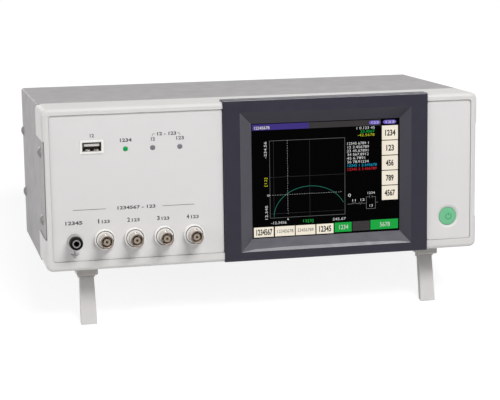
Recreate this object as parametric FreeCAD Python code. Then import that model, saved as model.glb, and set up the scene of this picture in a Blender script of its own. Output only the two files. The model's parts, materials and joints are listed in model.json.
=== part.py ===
import FreeCAD, Part
import math
import os

V = FreeCAD.Vector

# Bench impedance analyzer standing on its two front legs. All sizes in millimetres.
# It is modelled level: X to the viewer's right, Y from the front to the rear, Z up from
# the case's underside. At the end everything leans back onto the leg tips and heels.

# Case. Pieces of one solid run a lap into each other, and cutters run past a face.
case_width = 330.0
case_height = 119.0
case_depth = 168.0
sheet = 1.2
fit_gap = 0.2
moving_gap = 0.3
hole_gap = 0.05
lap = 0.5
past = 1.0
tiny = 0.001
pin_gap = 0.03

# Moulded front frame
bezel_corner = 5.0
bezel_front_radius = 3.0
bezel_wall = 2.4
bezel_front_wall = 3.6
bezel_depth = 38.0
ear_depth = 45.0
ear_height = 23.5
ear_step = 2.0
lip_step = 1.4
lip_depth = 1.6
rim_side = 5.0
rim_top = 5.0
rim_bottom = 7.0
pocket_corner = 2.0
pocket_depth = 2.6
pocket_lip = 3.0
panel_thickness = 1.6
boss_radius = 4.6
boss_length = 6.0

# Display and its sloped dark bezel
left_field = 132.0
right_field = 40.0
display_proud = 0.8
display_over_top = 1.2
display_under = 0.3
display_flange = 1.8
display_flange_depth = 11.0
display_wall = 2.0
display_edge_radius = 1.0
slope_left = 12.6
slope_right = 13.0
slope_bottom = 6.5
slope_top = 8.2
screen_left = 22.6
screen_right = 20.2
screen_bottom = 15.1
screen_top = 17.5
screen_depth = 5.7
touch_border = 2.0
touch_thickness = 1.6
lcd_border = 6.5
lcd_thickness = 8.0

# Sub-panel that carries the jacks and boards
subpanel_setback = 3.8
subpanel_flange = 11.0
window_margin = 3.0
window_bottom = 8.0
window_top = 9.5
port_clear = 0.5
boss_clear = 1.0

# Sockets along the lower front
jack_height = 22.4
guard_inset = 20.9
bnc_inset = 42.9
bnc_pitch = 22.0
bnc_count = 4
bush_radius = 7.6
bush_thickness = 1.6
bush_hub_radius = 6.4
bnc_thread_radius = 5.5
bnc_collar_radius = 6.1
bnc_collar_length = 2.2
bnc_barrel_radius = 4.8
bnc_neck_radius = 4.5
bnc_length = 12.4
bnc_bore_radius = 4.05
bnc_bore_depth = 8.6
bnc_thread_length = 14.0
bnc_lug_radius = 1.0
bnc_lug_height = 0.9
bnc_lug_setback = 5.2
bnc_core_radius = 2.45
bnc_core_recess = 1.2
bnc_contact_radius = 1.0
bnc_contact_hole = 0.6
bnc_contact_depth = 5.0
bnc_tail = 5.0
nut_flats = 14.0
nut_thickness = 2.6
guard_body_radius = 5.2
guard_body_length = 8.0
guard_hub_radius = 4.4
guard_hub_length = 16.0
guard_ring_radius = 4.8
guard_ring_length = 5.0
guard_ring_chamfer = 0.8
guard_sleeve_radius = 2.9
guard_bore_radius = 2.05
guard_sleeve_length = 25.0

# USB port and lamps
usb_inset = 35.6
usb_drop = 28.6
usb_width = 13.8
usb_height = 6.6
usb_wall = 0.4
usb_frame_edge = 1.6
usb_frame_lap = 0.1
usb_frame_proud = 0.5
usb_tongue_width = 11.2
usb_tongue_thickness = 1.9
usb_tongue_drop = 0.7
usb_tongue_setback = 0.8
usb_tongue_base = 2.0
lamp_inset = 60.0
lamp_pitch = 20.0
lamp_count = 3
lamp_drop = 31.1
lamp_radius = 1.7
lamp_proud = 0.3
lamp_crown_radius = 1.2
lamp_foot_radius = 2.3
lamp_foot_length = 1.2

# Power button
button_inset = 22.7
button_height = 24.7
button_radius = 6.8
button_recess = 0.5
button_crown = 0.5
button_wall = 1.3
button_length = 5.4
button_collar_radius = 7.9
button_collar_thickness = 1.0
button_stem_radius = 1.8
button_stem_entry = 0.6
button_travel = 1.5
dish_radius = 9.3
dish_depth = 1.1
switch_width = 19.0
switch_height = 12.0
switch_depth = 6.0
switch_post = 2.0

# Cover, tray and rear panel
cover_inset = 0.8
cover_drop = 0.4
cover_bend = 2.0
cover_lift = 0.5
tray_flange = 11.0
tray_corner_clear = 2.0
rear_setback = 2.0
rear_thickness = 1.5
rear_flange = 14.0
rear_flange_clear = 14.0
side_screw_front = 24.0
side_screw_rear = 8.0
side_screw_low = 35.0
side_screw_drop = 34.0
screw_radius = 2.0
screw_length = 6.5
screw_head_radius = 4.5
screw_head_height = 2.1

# Feet and legs
leg_inset = 32.0
foot_width = 15.7
foot_height = 8.5
foot_front = 21.0
foot_length = 20.0
foot_wall = 4.9
foot_cheek = 1.2
foot_edge = 1.0
hinge_back = 4.3
hinge_drop = 4.6
hinge_pin_radius = 1.5
knuckle_radius = 3.9
leg_reach = 41.0
leg_lean_deg = 12.0
leg_root_width = 10.4
leg_tip_width = 12.0
leg_root_depth = 6.4
leg_tip_depth = 4.2
leg_shoulder = 6.6
rear_foot_center = 24.0
rear_foot_corner = 2.0
heel_flat = 5.7
foot_screw_radius = 1.25
foot_screw_head = 2.6
foot_screw_head_height = 1.6
foot_screw_depth = 6.0
foot_screw_spread = 4.5

# Boards inside
board_thickness = 1.6
front_board_depth = 12.4
front_board_clear = 7.6
front_board_margin = 2.0
front_board_rise = 20.6
front_board_drop = 10.0
main_board_side_clear = 22.8
main_board_front = 34.0
main_board_rear_clear = 18.5
standoff_height = 10.0
standoff_radius = 3.0
standoff_inset = 8.0
can_width = 96.0
can_length = 84.0
can_height = 26.0
can_wall = 0.6
can_margin = 4.0
can_setback = 8.0
supply_width = 84.0
supply_side_margin = 8.0
supply_end_margin = 10.0
supply_height = 38.0
supply_wall = 1.5
transformer_inset = 12.0
transformer_width = 34.0
transformer_length = 30.0
transformer_height = 30.0
capacitor_radius = 8.0
capacitor_height = 28.0
capacitor_inset = 20.0
capacitor_rear = 16.0
capacitor_pitch = 18.0
fin_count = 5
fin_pitch = 6.0
fin_thickness = 2.0
fin_height = 32.0
fin_length = 36.0
fin_inset = 40.0
fin_rear = 6.0

# Rear connectors, placed from the case's left end as seen from the front
inlet_from_right = 46.0
inlet_height = 28.0
inlet_width = 27.0
inlet_body_height = 19.6
inlet_body_depth = 19.0
inlet_flange = 1.8
inlet_flange_depth = 1.6
inlet_wall = 1.6
inlet_cavity_depth = 16.0
inlet_corner_cut = 4.0
inlet_pin_width = 2.0
inlet_pin_height = 4.0
inlet_pin_length = 9.5
inlet_pin_spread = 7.0
inlet_pin_offset = 2.0
rocker_height = 64.0
rocker_width = 11.0
rocker_length = 19.0
rocker_radius = 10.6
rocker_tilt_deg = 9.0
rocker_hub = 5.0
rocker_axle = 1.5
rocker_end_drop = 0.4
rocker_valley = 0.6
rocker_frame_wall = 1.5
rocker_flange = 1.6
rocker_flange_depth = 1.4
rocker_body_depth = 20.0
io_from_right = 146.0
io_drop = 24.0
io_flange_width = 69.4
io_flange_height = 12.6
io_flange_thickness = 1.0
io_shell_width = 55.0
io_shell_height = 8.4
io_shell_wall = 0.5
io_shell_proud = 5.6
io_body_depth = 12.0
io_screw_spread = 31.7
io_screw_flats = 5.0
io_screw_length = 4.8
io_screw_hole = 1.25
io_contact_radius = 0.5
io_contact_pitch = 2.77
io_contact_count = 19
io_contact_hole = 3.0
io_insert_recess = 0.4
io_slant_deg = 10.0
usb_b_from_right = 214.0
usb_b_drop = 24.0
usb_b_width = 12.0
usb_b_height = 10.9
usb_b_depth = 16.0
usb_b_tongue_width = 5.6
usb_b_tongue_height = 3.2
usb_b_tongue_recess = 2.0
usb_b_floor = 2.0
usb_b_corner_cut = 2.0
option_from_left = 62.0
option_drop = 30.0
option_width = 84.0
option_height = 30.0
option_margin = 4.0
option_side_margin = 8.0
option_thickness = 1.0
option_screw_inset = 4.5
sensor_from_left = 116.0
sensor_drop = 52.0
sensor_nut_radius = 5.0
sensor_hub_radius = 3.9
sensor_bore_radius = 1.8
sensor_length = 14.0
sensor_nut_thickness = 2.0
sensor_shoulder = 1.5
vent_width = 3.0
vent_height = 26.0
vent_pitch = 7.0
vent_count = 14
vent_center_height = 34.0
vent_from_left = 60.0
tray_vent_count = 10
tray_vent_offset = 50.0
tray_vent_setback = 30.0
vent_corner = 1.0

# Places worked out from the sizes above
half_width = case_width / 2
core_half = half_width - ear_step
lip_half = half_width - lip_step
cavity_half = core_half - bezel_wall
tongue_low = ear_height
tongue_high = case_height - ear_height
display_left = -half_width + left_field
display_right = half_width - right_field
display_width = display_right - display_left
panel_front = pocket_depth - panel_thickness
panel_floor = rim_bottom
panel_top = case_height - rim_top
panel_left = -half_width + rim_side
panel_right = half_width - rim_side
subpanel_back = subpanel_setback + sheet
screen_x = display_left + screen_left
screen_width = display_width - screen_left - screen_right
screen_height = case_height - screen_bottom - screen_top
guard_x = -half_width + guard_inset
bnc_xs = [-half_width + bnc_inset + bnc_pitch * i for i in range(bnc_count)]
usb_x = -half_width + usb_inset
usb_z = case_height - usb_drop
lamp_xs = [-half_width + lamp_inset + lamp_pitch * i for i in range(lamp_count)]
lamp_z = case_height - lamp_drop
button_x = half_width - button_inset
cover_half = half_width - cover_inset
cover_top = case_height - cover_drop
tray_half = cover_half - sheet - fit_gap
rear_face = case_depth - rear_setback
rear_inner = rear_face - rear_thickness
side_screw_places = [
    (y, z)
    for y in (side_screw_front, case_depth - side_screw_rear)
    for z in (side_screw_low, case_height - side_screw_drop)
]
leg_x = half_width - leg_inset
hinge_y = foot_front + foot_wall + hinge_back
hinge_z = -hinge_drop
leg_lean = math.radians(leg_lean_deg)
tip_y = hinge_y - leg_reach * math.sin(leg_lean)
tip_z = hinge_z - leg_reach * math.cos(leg_lean)
rear_foot_y = case_depth - rear_foot_center
heel_y = rear_foot_y + foot_length / 2 - heel_flat
tilt = math.atan2(-foot_height - tip_z, heel_y - tip_y)
main_board_z = sheet + standoff_height
main_board_half = tray_half - main_board_side_clear
main_board_back = rear_inner - main_board_rear_clear
inlet_x = half_width - inlet_from_right
io_x = half_width - io_from_right
io_z = case_height - io_drop
usb_b_x = half_width - usb_b_from_right
usb_b_z = case_height - usb_b_drop
option_x = -half_width + option_from_left
option_z = case_height - option_drop
sensor_x = -half_width + sensor_from_left
sensor_z = case_height - sensor_drop
inlet_half = inlet_width / 2
inlet_body_half = inlet_body_height / 2
rocker_half = rocker_width / 2
rocker_cavity_half = rocker_length / 2 + moving_gap
rocker_pivot_y = rear_face - rocker_hub


# Basic shapes

def box(x0, x1, y0, y1, z0, z1):
    return Part.makeBox(x1 - x0, y1 - y0, z1 - z0, V(x0, y0, z0))


def centred_box(x, z, width, height, y0, y1):
    return box(x - width / 2, x + width / 2, y0, y1, z - height / 2, z + height / 2)


def rod_x(y, z, radius, x0, x1):
    return Part.makeCylinder(radius, x1 - x0, V(x0, y, z), V(1, 0, 0))


def rod_y(x, z, radius, y0, y1):
    return Part.makeCylinder(radius, y1 - y0, V(x, y0, z), V(0, 1, 0))


def rod_z(x, y, radius, z0, z1):
    return Part.makeCylinder(radius, z1 - z0, V(x, y, z0), V(0, 0, 1))


def front_outline(x0, x1, z0, z1, radius, y):
    """Rounded rectangle in the front view."""
    mid = radius * (1 - math.sqrt(0.5))
    corners = [
        (V(x1 - radius, y, z0), V(x1 - mid, y, z0 + mid), V(x1, y, z0 + radius)),
        (V(x1, y, z1 - radius), V(x1 - mid, y, z1 - mid), V(x1 - radius, y, z1)),
        (V(x0 + radius, y, z1), V(x0 + mid, y, z1 - mid), V(x0, y, z1 - radius)),
        (V(x0, y, z0 + radius), V(x0 + mid, y, z0 + mid), V(x0 + radius, y, z0)),
    ]
    edges = []
    for i, (start, middle, end) in enumerate(corners):
        edges.append(Part.Arc(start, middle, end).toShape())
        edges.append(Part.makeLine(end, corners[(i + 1) % 4][0]))
    return Part.Wire(edges)


def rounded_plate(x0, x1, z0, z1, radius, y0, y1):
    face = Part.Face(front_outline(x0, x1, z0, z1, radius, y0))
    return face.extrude(V(0, y1 - y0, 0))


def side_extrusion(points, x0, x1):
    """Closed outline of (y, z) points, extruded across the case."""
    corners = [V(x0, y, z) for y, z in points]
    face = Part.Face(Part.makePolygon(corners + corners[:1]))
    return face.extrude(V(x1 - x0, 0, 0))


def front_extrusion(points, y0, y1):
    """Closed outline of (x, z) points, extruded from y0 to y1."""
    corners = [V(x, y0, z) for x, z in points]
    face = Part.Face(Part.makePolygon(corners + corners[:1]))
    return face.extrude(V(0, y1 - y0, 0))


def turned(profile, x, z):
    """Closed outline of (radius, y) points, turned about an axis along Y."""
    corners = [V(x + radius, y, z) for radius, y in profile]
    face = Part.Face(Part.makePolygon(corners + corners[:1]))
    return face.revolve(V(x, 0, z), V(0, 1, 0), 360)


def hexagon_post(x, z, half_flats, y0, y1):
    reach = 2 * half_flats / math.sqrt(3)
    angles = [math.radians(60 * i) for i in range(6)]
    points = [(x + reach * math.cos(a), z + reach * math.sin(a)) for a in angles]
    return front_extrusion(points, y0, y1)


def hexagon_nut(x, z, flats, bore, y0, y1):
    return hexagon_post(x, z, flats / 2, y0, y1).cut(rod_y(x, z, bore, y0, y1))


def mirrored(shape):
    return shape.mirror(V(0, 0, 0), V(1, 0, 0))


def both_sides(shape):
    return [shape, mirrored(shape)]


def picked_edges(shape, wanted):
    return [edge for edge in shape.Edges if wanted(edge.BoundBox)]


def vent_slot(x, z, y0, y1):
    """Upright slot with cut corners."""
    side = vent_width / 2
    end = vent_height / 2
    return front_extrusion([
        (x - side + vent_corner, z - end), (x + side - vent_corner, z - end),
        (x + side, z - end + vent_corner), (x + side, z + end - vent_corner),
        (x + side - vent_corner, z + end), (x - side + vent_corner, z + end),
        (x - side, z + end - vent_corner), (x - side, z - end + vent_corner),
    ], y0, y1)


def screw(seat, outward):
    """Truss-head screw: seat is the middle of the head's underside."""
    ball = (screw_head_radius ** 2 + screw_head_height ** 2) / (2 * screw_head_height)
    half_turn = math.asin(screw_head_radius / ball) / 2
    crown = V(0, 0, screw_head_height)
    shoulder = V(ball * math.sin(half_turn), 0,
                 screw_head_height - ball * (1 - math.cos(half_turn)))
    rim = V(screw_head_radius, 0, 0)
    foot = [rim, V(screw_radius, 0, 0), V(screw_radius, 0, -screw_length),
            V(0, 0, -screw_length), crown]
    edges = [Part.Arc(crown, shoulder, rim).toShape()]
    edges += [Part.makeLine(start, end) for start, end in zip(foot, foot[1:])]
    shape = Part.Face(Part.Wire(edges)).revolve(V(0, 0, 0), V(0, 0, 1), 360)
    shape.Placement = FreeCAD.Placement(seat, FreeCAD.Rotation(V(0, 0, 1), outward))
    return shape


# Front of the case

def front_bezel():
    body = rounded_plate(
        -half_width, half_width, 0, case_height, bezel_corner, 0, ear_depth
    )
    front_edges = picked_edges(body, lambda b: b.YMax < tiny)
    body = body.makeFillet(bezel_front_radius, front_edges)
    far = half_width + past
    cuts = [
        box(-cavity_half, cavity_half, bezel_front_wall, ear_depth + past,
            bezel_wall, case_height - bezel_wall),
        box(-core_half, core_half, bezel_depth, ear_depth + past, -past, case_height + past),
        rounded_plate(panel_left, display_left + pocket_corner, panel_floor, panel_top,
                      pocket_corner, -past, pocket_depth),
        rounded_plate(display_right - pocket_corner, panel_right, panel_floor, panel_top,
                      pocket_corner, -past, pocket_depth),
        box(panel_left + pocket_lip, display_left - pocket_lip, 0, bezel_front_wall + past,
            panel_floor + pocket_lip, panel_top - pocket_lip),
        box(display_right + pocket_lip, panel_right - pocket_lip, 0, bezel_front_wall + past,
            panel_floor + pocket_lip, panel_top - pocket_lip),
        box(display_left, display_right, -past, display_flange_depth + fit_gap,
            -past, case_height + past),
    ]
    side_inset = box(core_half, far, lip_depth, ear_depth + past, tongue_low, tongue_high)
    lip_inset = box(lip_half, far, -past, lip_depth + lap, tongue_low, tongue_high)
    cuts += both_sides(side_inset) + both_sides(lip_inset)
    body = body.cut(cuts)
    for z in (side_screw_low, case_height - side_screw_drop):
        boss = rod_x(side_screw_front, z, boss_radius, cavity_half - boss_length, cavity_half)
        body = body.fuse(both_sides(boss))
        hole = rod_x(side_screw_front, z, screw_radius + hole_gap,
                     cavity_half - boss_length - past, far)
        body = body.cut(both_sides(hole))
    holes = [
        rod_z(side * leg_x + offset, foot_front + foot_wall / 2, foot_screw_radius + hole_gap,
              -past, bezel_wall + past)
        for side in (-1, 1)
        for offset in (-foot_screw_spread, foot_screw_spread)
    ]
    return body.cut(holes).removeSplitter()


def display_bezel():
    """Dark moulding with four sloped faces that lead down to the screen."""
    left = display_left + fit_gap
    right = display_right - fit_gap
    bottom = -display_under
    top = case_height + display_over_top
    front = -display_proud
    plate_back = front + display_wall
    profile = [
        (front, bottom), (front, top), (display_flange_depth, top),
        (display_flange_depth, top - display_flange), (plate_back, top - display_flange),
        (plate_back, bottom + display_flange), (display_flange_depth, bottom + display_flange),
        (display_flange_depth, bottom),
    ]
    body = side_extrusion(profile, left, right)
    long_edges = picked_edges(
        body,
        lambda b: b.XLength > display_width - past and b.YMax < front + tiny,
    )
    body = body.makeFillet(display_edge_radius, long_edges)
    for wall_left in (left, right - display_wall):
        wall = box(wall_left, wall_left + display_wall, plate_back - lap, bezel_front_wall,
                   bottom + display_flange - lap, top - display_flange + lap)
        body = body.fuse(wall)
    outer = (
        display_left + slope_left, display_right - slope_right,
        slope_bottom, case_height - slope_top,
    )
    inner = (screen_x, screen_x + screen_width, screen_bottom, screen_bottom + screen_height)
    funnel = sloped_funnel(outer, inner, front, screen_depth, display_wall)
    opening = sloped_funnel(outer, inner, front, screen_depth, 0)
    return body.fuse(funnel).cut(opening).removeSplitter()


def rectangle_wire(bounds, margin, y):
    x0, x1, z0, z1 = bounds
    corners = [
        V(x0 - margin, y, z0 - margin), V(x1 + margin, y, z0 - margin),
        V(x1 + margin, y, z1 + margin), V(x0 - margin, y, z1 + margin),
    ]
    return Part.makePolygon(corners + corners[:1])


def sloped_funnel(outer, inner, front, back, margin):
    wires = [rectangle_wire(outer, margin, front), rectangle_wire(inner, margin, back)]
    return Part.makeLoft(wires, True, True)


def left_panel():
    plate = rounded_plate(
        panel_left + fit_gap, display_left - fit_gap, panel_floor + fit_gap,
        panel_top - fit_gap, pocket_corner - fit_gap, panel_front, pocket_depth
    )
    cuts = jack_holes(panel_front - past, pocket_depth + past)
    cuts += [rod_y(x, lamp_z, lamp_radius + fit_gap, panel_front - past, pocket_depth + past)
             for x in lamp_xs]
    cuts.append(centred_box(usb_x, usb_z, usb_width + 2 * usb_frame_edge,
                            usb_height + 2 * usb_frame_edge, panel_front - past, pocket_depth + past))
    return plate.cut(cuts)


def jack_holes(y0, y1):
    holes = [rod_y(x, jack_height, bush_hub_radius + fit_gap, y0, y1) for x in bnc_xs]
    holes.append(rod_y(guard_x, jack_height, guard_hub_radius + hole_gap, y0, y1))
    return holes


def right_panel():
    plate = rounded_plate(
        display_right + fit_gap, panel_right - fit_gap, panel_floor + fit_gap,
        panel_top - fit_gap, pocket_corner - fit_gap, panel_front, pocket_depth
    )
    hole_radius = button_radius + moving_gap
    offset = (dish_radius ** 2 - hole_radius ** 2 - dish_depth ** 2) / (2 * dish_depth)
    dish = Part.makeSphere(
        math.hypot(dish_radius, offset), V(button_x, panel_front - offset, button_height)
    )
    hole = rod_y(button_x, button_height, hole_radius, panel_front - past, pocket_depth + past)
    return plate.cut([dish, hole])


def touch_panel():
    return box(
        screen_x - touch_border, screen_x + screen_width + touch_border,
        screen_depth + hole_gap, screen_depth + touch_thickness,
        screen_bottom - touch_border, screen_bottom + screen_height + touch_border
    )


def lcd_module():
    front = screen_depth + touch_thickness + hole_gap
    return box(
        screen_x - lcd_border, screen_x + screen_width + lcd_border,
        front, front + lcd_thickness,
        screen_bottom - lcd_border, screen_bottom + screen_height + lcd_border
    )


def front_subpanel():
    half = cavity_half - fit_gap
    low = bezel_wall + fit_gap
    high = case_height - bezel_wall - fit_gap
    flange_back = subpanel_setback + subpanel_flange
    profile = [
        (subpanel_setback, low), (subpanel_setback, high), (flange_back, high),
        (flange_back, high - sheet), (subpanel_back, high - sheet),
        (subpanel_back, low + sheet), (flange_back, low + sheet), (flange_back, low),
    ]
    plate = side_extrusion(profile, -half, half)
    y0 = subpanel_setback - past
    y1 = subpanel_back + past
    cuts = jack_holes(y0, y1)
    cuts += [rod_y(x, lamp_z, lamp_foot_radius, y0, y1) for x in lamp_xs]
    cuts.append(centred_box(usb_x, usb_z, usb_width + 2 * port_clear, usb_height + 2 * port_clear, y0, y1))
    cuts.append(rod_y(button_x, button_height, button_radius + moving_gap, y0, y1))
    cuts.append(box(display_left + window_margin, display_right - window_margin, y0, y1,
                    window_bottom, case_height - window_top))
    clearance = boss_radius + boss_clear
    for z in (side_screw_low, case_height - side_screw_drop):
        notch = box(half - boss_length - boss_clear, half + past, side_screw_front - clearance,
                    side_screw_front + clearance, z - clearance, z + clearance)
        cuts += both_sides(notch)
    return plate.cut(cuts)


# Sockets

def bnc_shell(x):
    """Turned jack body: collar, barrel with two bayonet lugs, threaded tail."""
    seat = panel_front - bush_thickness
    collar_front = seat - bnc_collar_length
    mouth = seat - bnc_length
    floor = mouth + bnc_bore_depth
    lug_y = mouth + bnc_lug_setback
    lug_reach = bnc_barrel_radius + bnc_lug_height
    neck = lug_y - bnc_lug_radius
    tail = seat + bnc_thread_length
    body = turned([
        (bnc_core_radius + hole_gap, floor), (bnc_bore_radius, floor),
        (bnc_bore_radius, mouth), (bnc_barrel_radius, mouth),
        (bnc_barrel_radius, neck), (bnc_neck_radius, neck),
        (bnc_neck_radius, collar_front), (bnc_collar_radius, collar_front),
        (bnc_collar_radius, seat), (bnc_thread_radius - hole_gap, seat),
        (bnc_thread_radius - hole_gap, tail), (bnc_core_radius + hole_gap, tail),
    ], x, jack_height)
    lugs = rod_z(x, lug_y, bnc_lug_radius, jack_height - lug_reach, jack_height + lug_reach)
    hollow = rod_y(x, jack_height, (bnc_bore_radius + bnc_neck_radius) / 2,
                   mouth - past, collar_front + past)
    return body.fuse(lugs.cut(hollow))


def bnc_insulator(x):
    seat = panel_front - bush_thickness
    front = seat - bnc_length + bnc_core_recess
    back = seat + bnc_thread_length
    sleeve = rod_y(x, jack_height, bnc_core_radius, front, back)
    return sleeve.cut(rod_y(x, jack_height, bnc_contact_radius + hole_gap, front - past, back + past))


def bnc_contact(x):
    seat = panel_front - bush_thickness
    front = seat - bnc_length + bnc_core_recess + fit_gap
    back = seat + bnc_thread_length + bnc_tail
    pin = rod_y(x, jack_height, bnc_contact_radius, front, back)
    return pin.cut(rod_y(x, jack_height, bnc_contact_hole, front - past, front + bnc_contact_depth))


def bnc_bush(x):
    """White insulating bush that sets the jack off the panels."""
    seat = panel_front - bush_thickness
    end = subpanel_back - hole_gap
    return turned([
        (bnc_thread_radius, seat), (bush_radius, seat), (bush_radius, panel_front),
        (bush_hub_radius, panel_front), (bush_hub_radius, end), (bnc_thread_radius, end),
    ], x, jack_height)


def jack_nuts():
    y1 = subpanel_back + nut_thickness
    nuts = [hexagon_nut(x, jack_height, nut_flats, bnc_thread_radius, subpanel_back, y1)
            for x in bnc_xs]
    nuts.append(hexagon_nut(guard_x, jack_height, nut_flats, guard_hub_radius + hole_gap,
                            subpanel_back, y1))
    return Part.makeCompound(nuts)


def guard_jack_body():
    front = panel_front - guard_body_length
    back = panel_front + guard_hub_length
    bore = guard_sleeve_radius + hole_gap
    return turned([
        (bore, front), (guard_body_radius, front), (guard_body_radius, panel_front),
        (guard_hub_radius, panel_front), (guard_hub_radius, back), (bore, back),
    ], guard_x, jack_height)


def guard_jack_ring():
    back = panel_front - guard_body_length
    front = back - guard_ring_length
    bore = guard_sleeve_radius + hole_gap
    return turned([
        (bore, front), (guard_ring_radius - guard_ring_chamfer, front),
        (guard_ring_radius, front + guard_ring_chamfer), (guard_ring_radius, back),
        (bore, back),
    ], guard_x, jack_height)


def guard_jack_sleeve():
    front = panel_front - guard_body_length - guard_ring_length
    back = front + guard_sleeve_length
    sleeve = rod_y(guard_x, jack_height, guard_sleeve_radius, front, back)
    return sleeve.cut(rod_y(guard_x, jack_height, guard_bore_radius, front - past, back + past))


# USB port, lamps and power button

def usb_frame():
    front = panel_front - usb_frame_proud
    flange_width = usb_width + 2 * (usb_frame_edge + usb_frame_lap)
    flange_height = usb_height + 2 * (usb_frame_edge + usb_frame_lap)
    flange = centred_box(usb_x, usb_z, flange_width, flange_height, front, panel_front)
    hub = centred_box(usb_x, usb_z, usb_width + 2 * usb_frame_edge - 2 * fit_gap,
                      usb_height + 2 * usb_frame_edge - 2 * fit_gap, panel_front, pocket_depth)
    opening = centred_box(usb_x, usb_z, usb_width + 2 * hole_gap, usb_height + 2 * hole_gap,
                          front - past, pocket_depth + past)
    return flange.fuse(hub).cut(opening).removeSplitter()


def usb_shell():
    front = panel_front - hole_gap
    shell = centred_box(usb_x, usb_z, usb_width, usb_height, front, front_board_depth)
    room = centred_box(usb_x, usb_z, usb_width - 2 * usb_wall, usb_height - 2 * usb_wall,
                       front - past, front_board_depth - usb_wall)
    return shell.cut(room)


def usb_tongue():
    front = panel_front + usb_tongue_setback
    back = front_board_depth - usb_wall - hole_gap
    top = usb_z + usb_height / 2 - usb_wall - usb_tongue_drop
    tongue = box(usb_x - usb_tongue_width / 2, usb_x + usb_tongue_width / 2, front, back,
                 top - usb_tongue_thickness, top)
    base = centred_box(usb_x, usb_z, usb_width - 2 * usb_wall - 2 * hole_gap,
                       usb_height - 2 * usb_wall - 2 * hole_gap, back - usb_tongue_base, back)
    return tongue.fuse(base).removeSplitter()


def status_lamp(x):
    front = panel_front - lamp_proud
    shoulder = front_board_depth - hole_gap - lamp_foot_length
    back = front_board_depth - hole_gap
    body = turned([
        (0, front), (lamp_crown_radius, front), (lamp_radius, front + lamp_proud),
        (lamp_radius, shoulder), (lamp_foot_radius, shoulder), (lamp_foot_radius, back),
        (0, back),
    ], x, lamp_z)
    return body


def power_button():
    """Cap with a slightly domed face, a collar that keeps it in, and a stem."""
    front = panel_front + button_recess
    collar_front = subpanel_back + moving_gap
    collar_back = collar_front + button_collar_thickness
    switch_front = collar_back + button_travel + moving_gap
    reach = (button_radius ** 2 + button_crown ** 2) / (2 * button_crown)
    dome = Part.makeSphere(reach, V(button_x, front + reach, button_height))
    cap = rod_y(button_x, button_height, button_radius, front, collar_back)
    cap = cap.common(dome)
    collar = rod_y(button_x, button_height, button_collar_radius, collar_front, collar_back)
    hollow = rod_y(button_x, button_height, button_radius - button_wall,
                   front + button_crown + button_wall, collar_back + past)
    stem = rod_y(button_x, button_height, button_stem_radius, front + button_crown,
                 switch_front + button_stem_entry)
    return cap.fuse(collar).cut(hollow).fuse(stem).removeSplitter()


def power_switch():
    collar_back = subpanel_back + moving_gap + button_collar_thickness
    front = collar_back + button_travel + moving_gap
    body = centred_box(button_x, button_height, switch_width, switch_height,
                       front, front + switch_depth)
    for side in (-1, 1):
        for level in (-1, 1):
            x = button_x + side * (switch_width - switch_post) / 2
            z = button_height + level * (switch_height - switch_post) / 2
            body = body.fuse(centred_box(x, z, switch_post, switch_post, subpanel_back, front))
    well = rod_y(button_x, button_height, button_stem_radius + moving_gap, front - past,
                 front + button_stem_entry + button_travel + moving_gap)
    return body.cut(well).removeSplitter()


# Sheet metal

def top_cover():
    """One sheet folded down both sides, with a tongue forward between the ears."""
    inner_bend = cover_bend - sheet
    mid_out = cover_bend * (1 - math.sqrt(0.5))
    mid_in = inner_bend * (1 - math.sqrt(0.5))
    inner_half = cover_half - sheet
    inner_top = cover_top - sheet
    y = lip_depth + fit_gap
    edges = [
        Part.makeLine(V(cover_half, y, cover_lift), V(cover_half, y, cover_top - cover_bend)),
        Part.Arc(V(cover_half, y, cover_top - cover_bend),
                 V(cover_half - mid_out, y, cover_top - mid_out),
                 V(cover_half - cover_bend, y, cover_top)).toShape(),
        Part.makeLine(V(cover_half - cover_bend, y, cover_top),
                      V(-cover_half + cover_bend, y, cover_top)),
        Part.Arc(V(-cover_half + cover_bend, y, cover_top),
                 V(-cover_half + mid_out, y, cover_top - mid_out),
                 V(-cover_half, y, cover_top - cover_bend)).toShape(),
        Part.makeLine(V(-cover_half, y, cover_top - cover_bend), V(-cover_half, y, cover_lift)),
        Part.makeLine(V(-cover_half, y, cover_lift), V(-inner_half, y, cover_lift)),
        Part.makeLine(V(-inner_half, y, cover_lift), V(-inner_half, y, inner_top - inner_bend)),
        Part.Arc(V(-inner_half, y, inner_top - inner_bend),
                 V(-inner_half + mid_in, y, inner_top - mid_in),
                 V(-inner_half + inner_bend, y, inner_top)).toShape(),
        Part.makeLine(V(-inner_half + inner_bend, y, inner_top),
                      V(inner_half - inner_bend, y, inner_top)),
        Part.Arc(V(inner_half - inner_bend, y, inner_top),
                 V(inner_half - mid_in, y, inner_top - mid_in),
                 V(inner_half, y, inner_top - inner_bend)).toShape(),
        Part.makeLine(V(inner_half, y, inner_top - inner_bend), V(inner_half, y, cover_lift)),
        Part.makeLine(V(inner_half, y, cover_lift), V(cover_half, y, cover_lift)),
    ]
    cover = Part.Face(Part.Wire(edges)).extrude(V(0, case_depth - y, 0))
    far = cover_half + past
    ear_inner = core_half - fit_gap
    ear_back = ear_depth + fit_gap
    cuts = [box(-ear_inner, ear_inner, 0, bezel_depth + fit_gap, tongue_high, case_height)]
    cuts += both_sides(box(ear_inner, far, 0, ear_back, tongue_high - fit_gap, case_height))
    cuts += both_sides(box(ear_inner, far, 0, ear_back, -past, tongue_low + fit_gap))
    for y, z in side_screw_places:
        cuts += both_sides(rod_x(y, z, screw_radius + fit_gap, ear_inner - sheet, far))
    return cover.cut(cuts)


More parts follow.
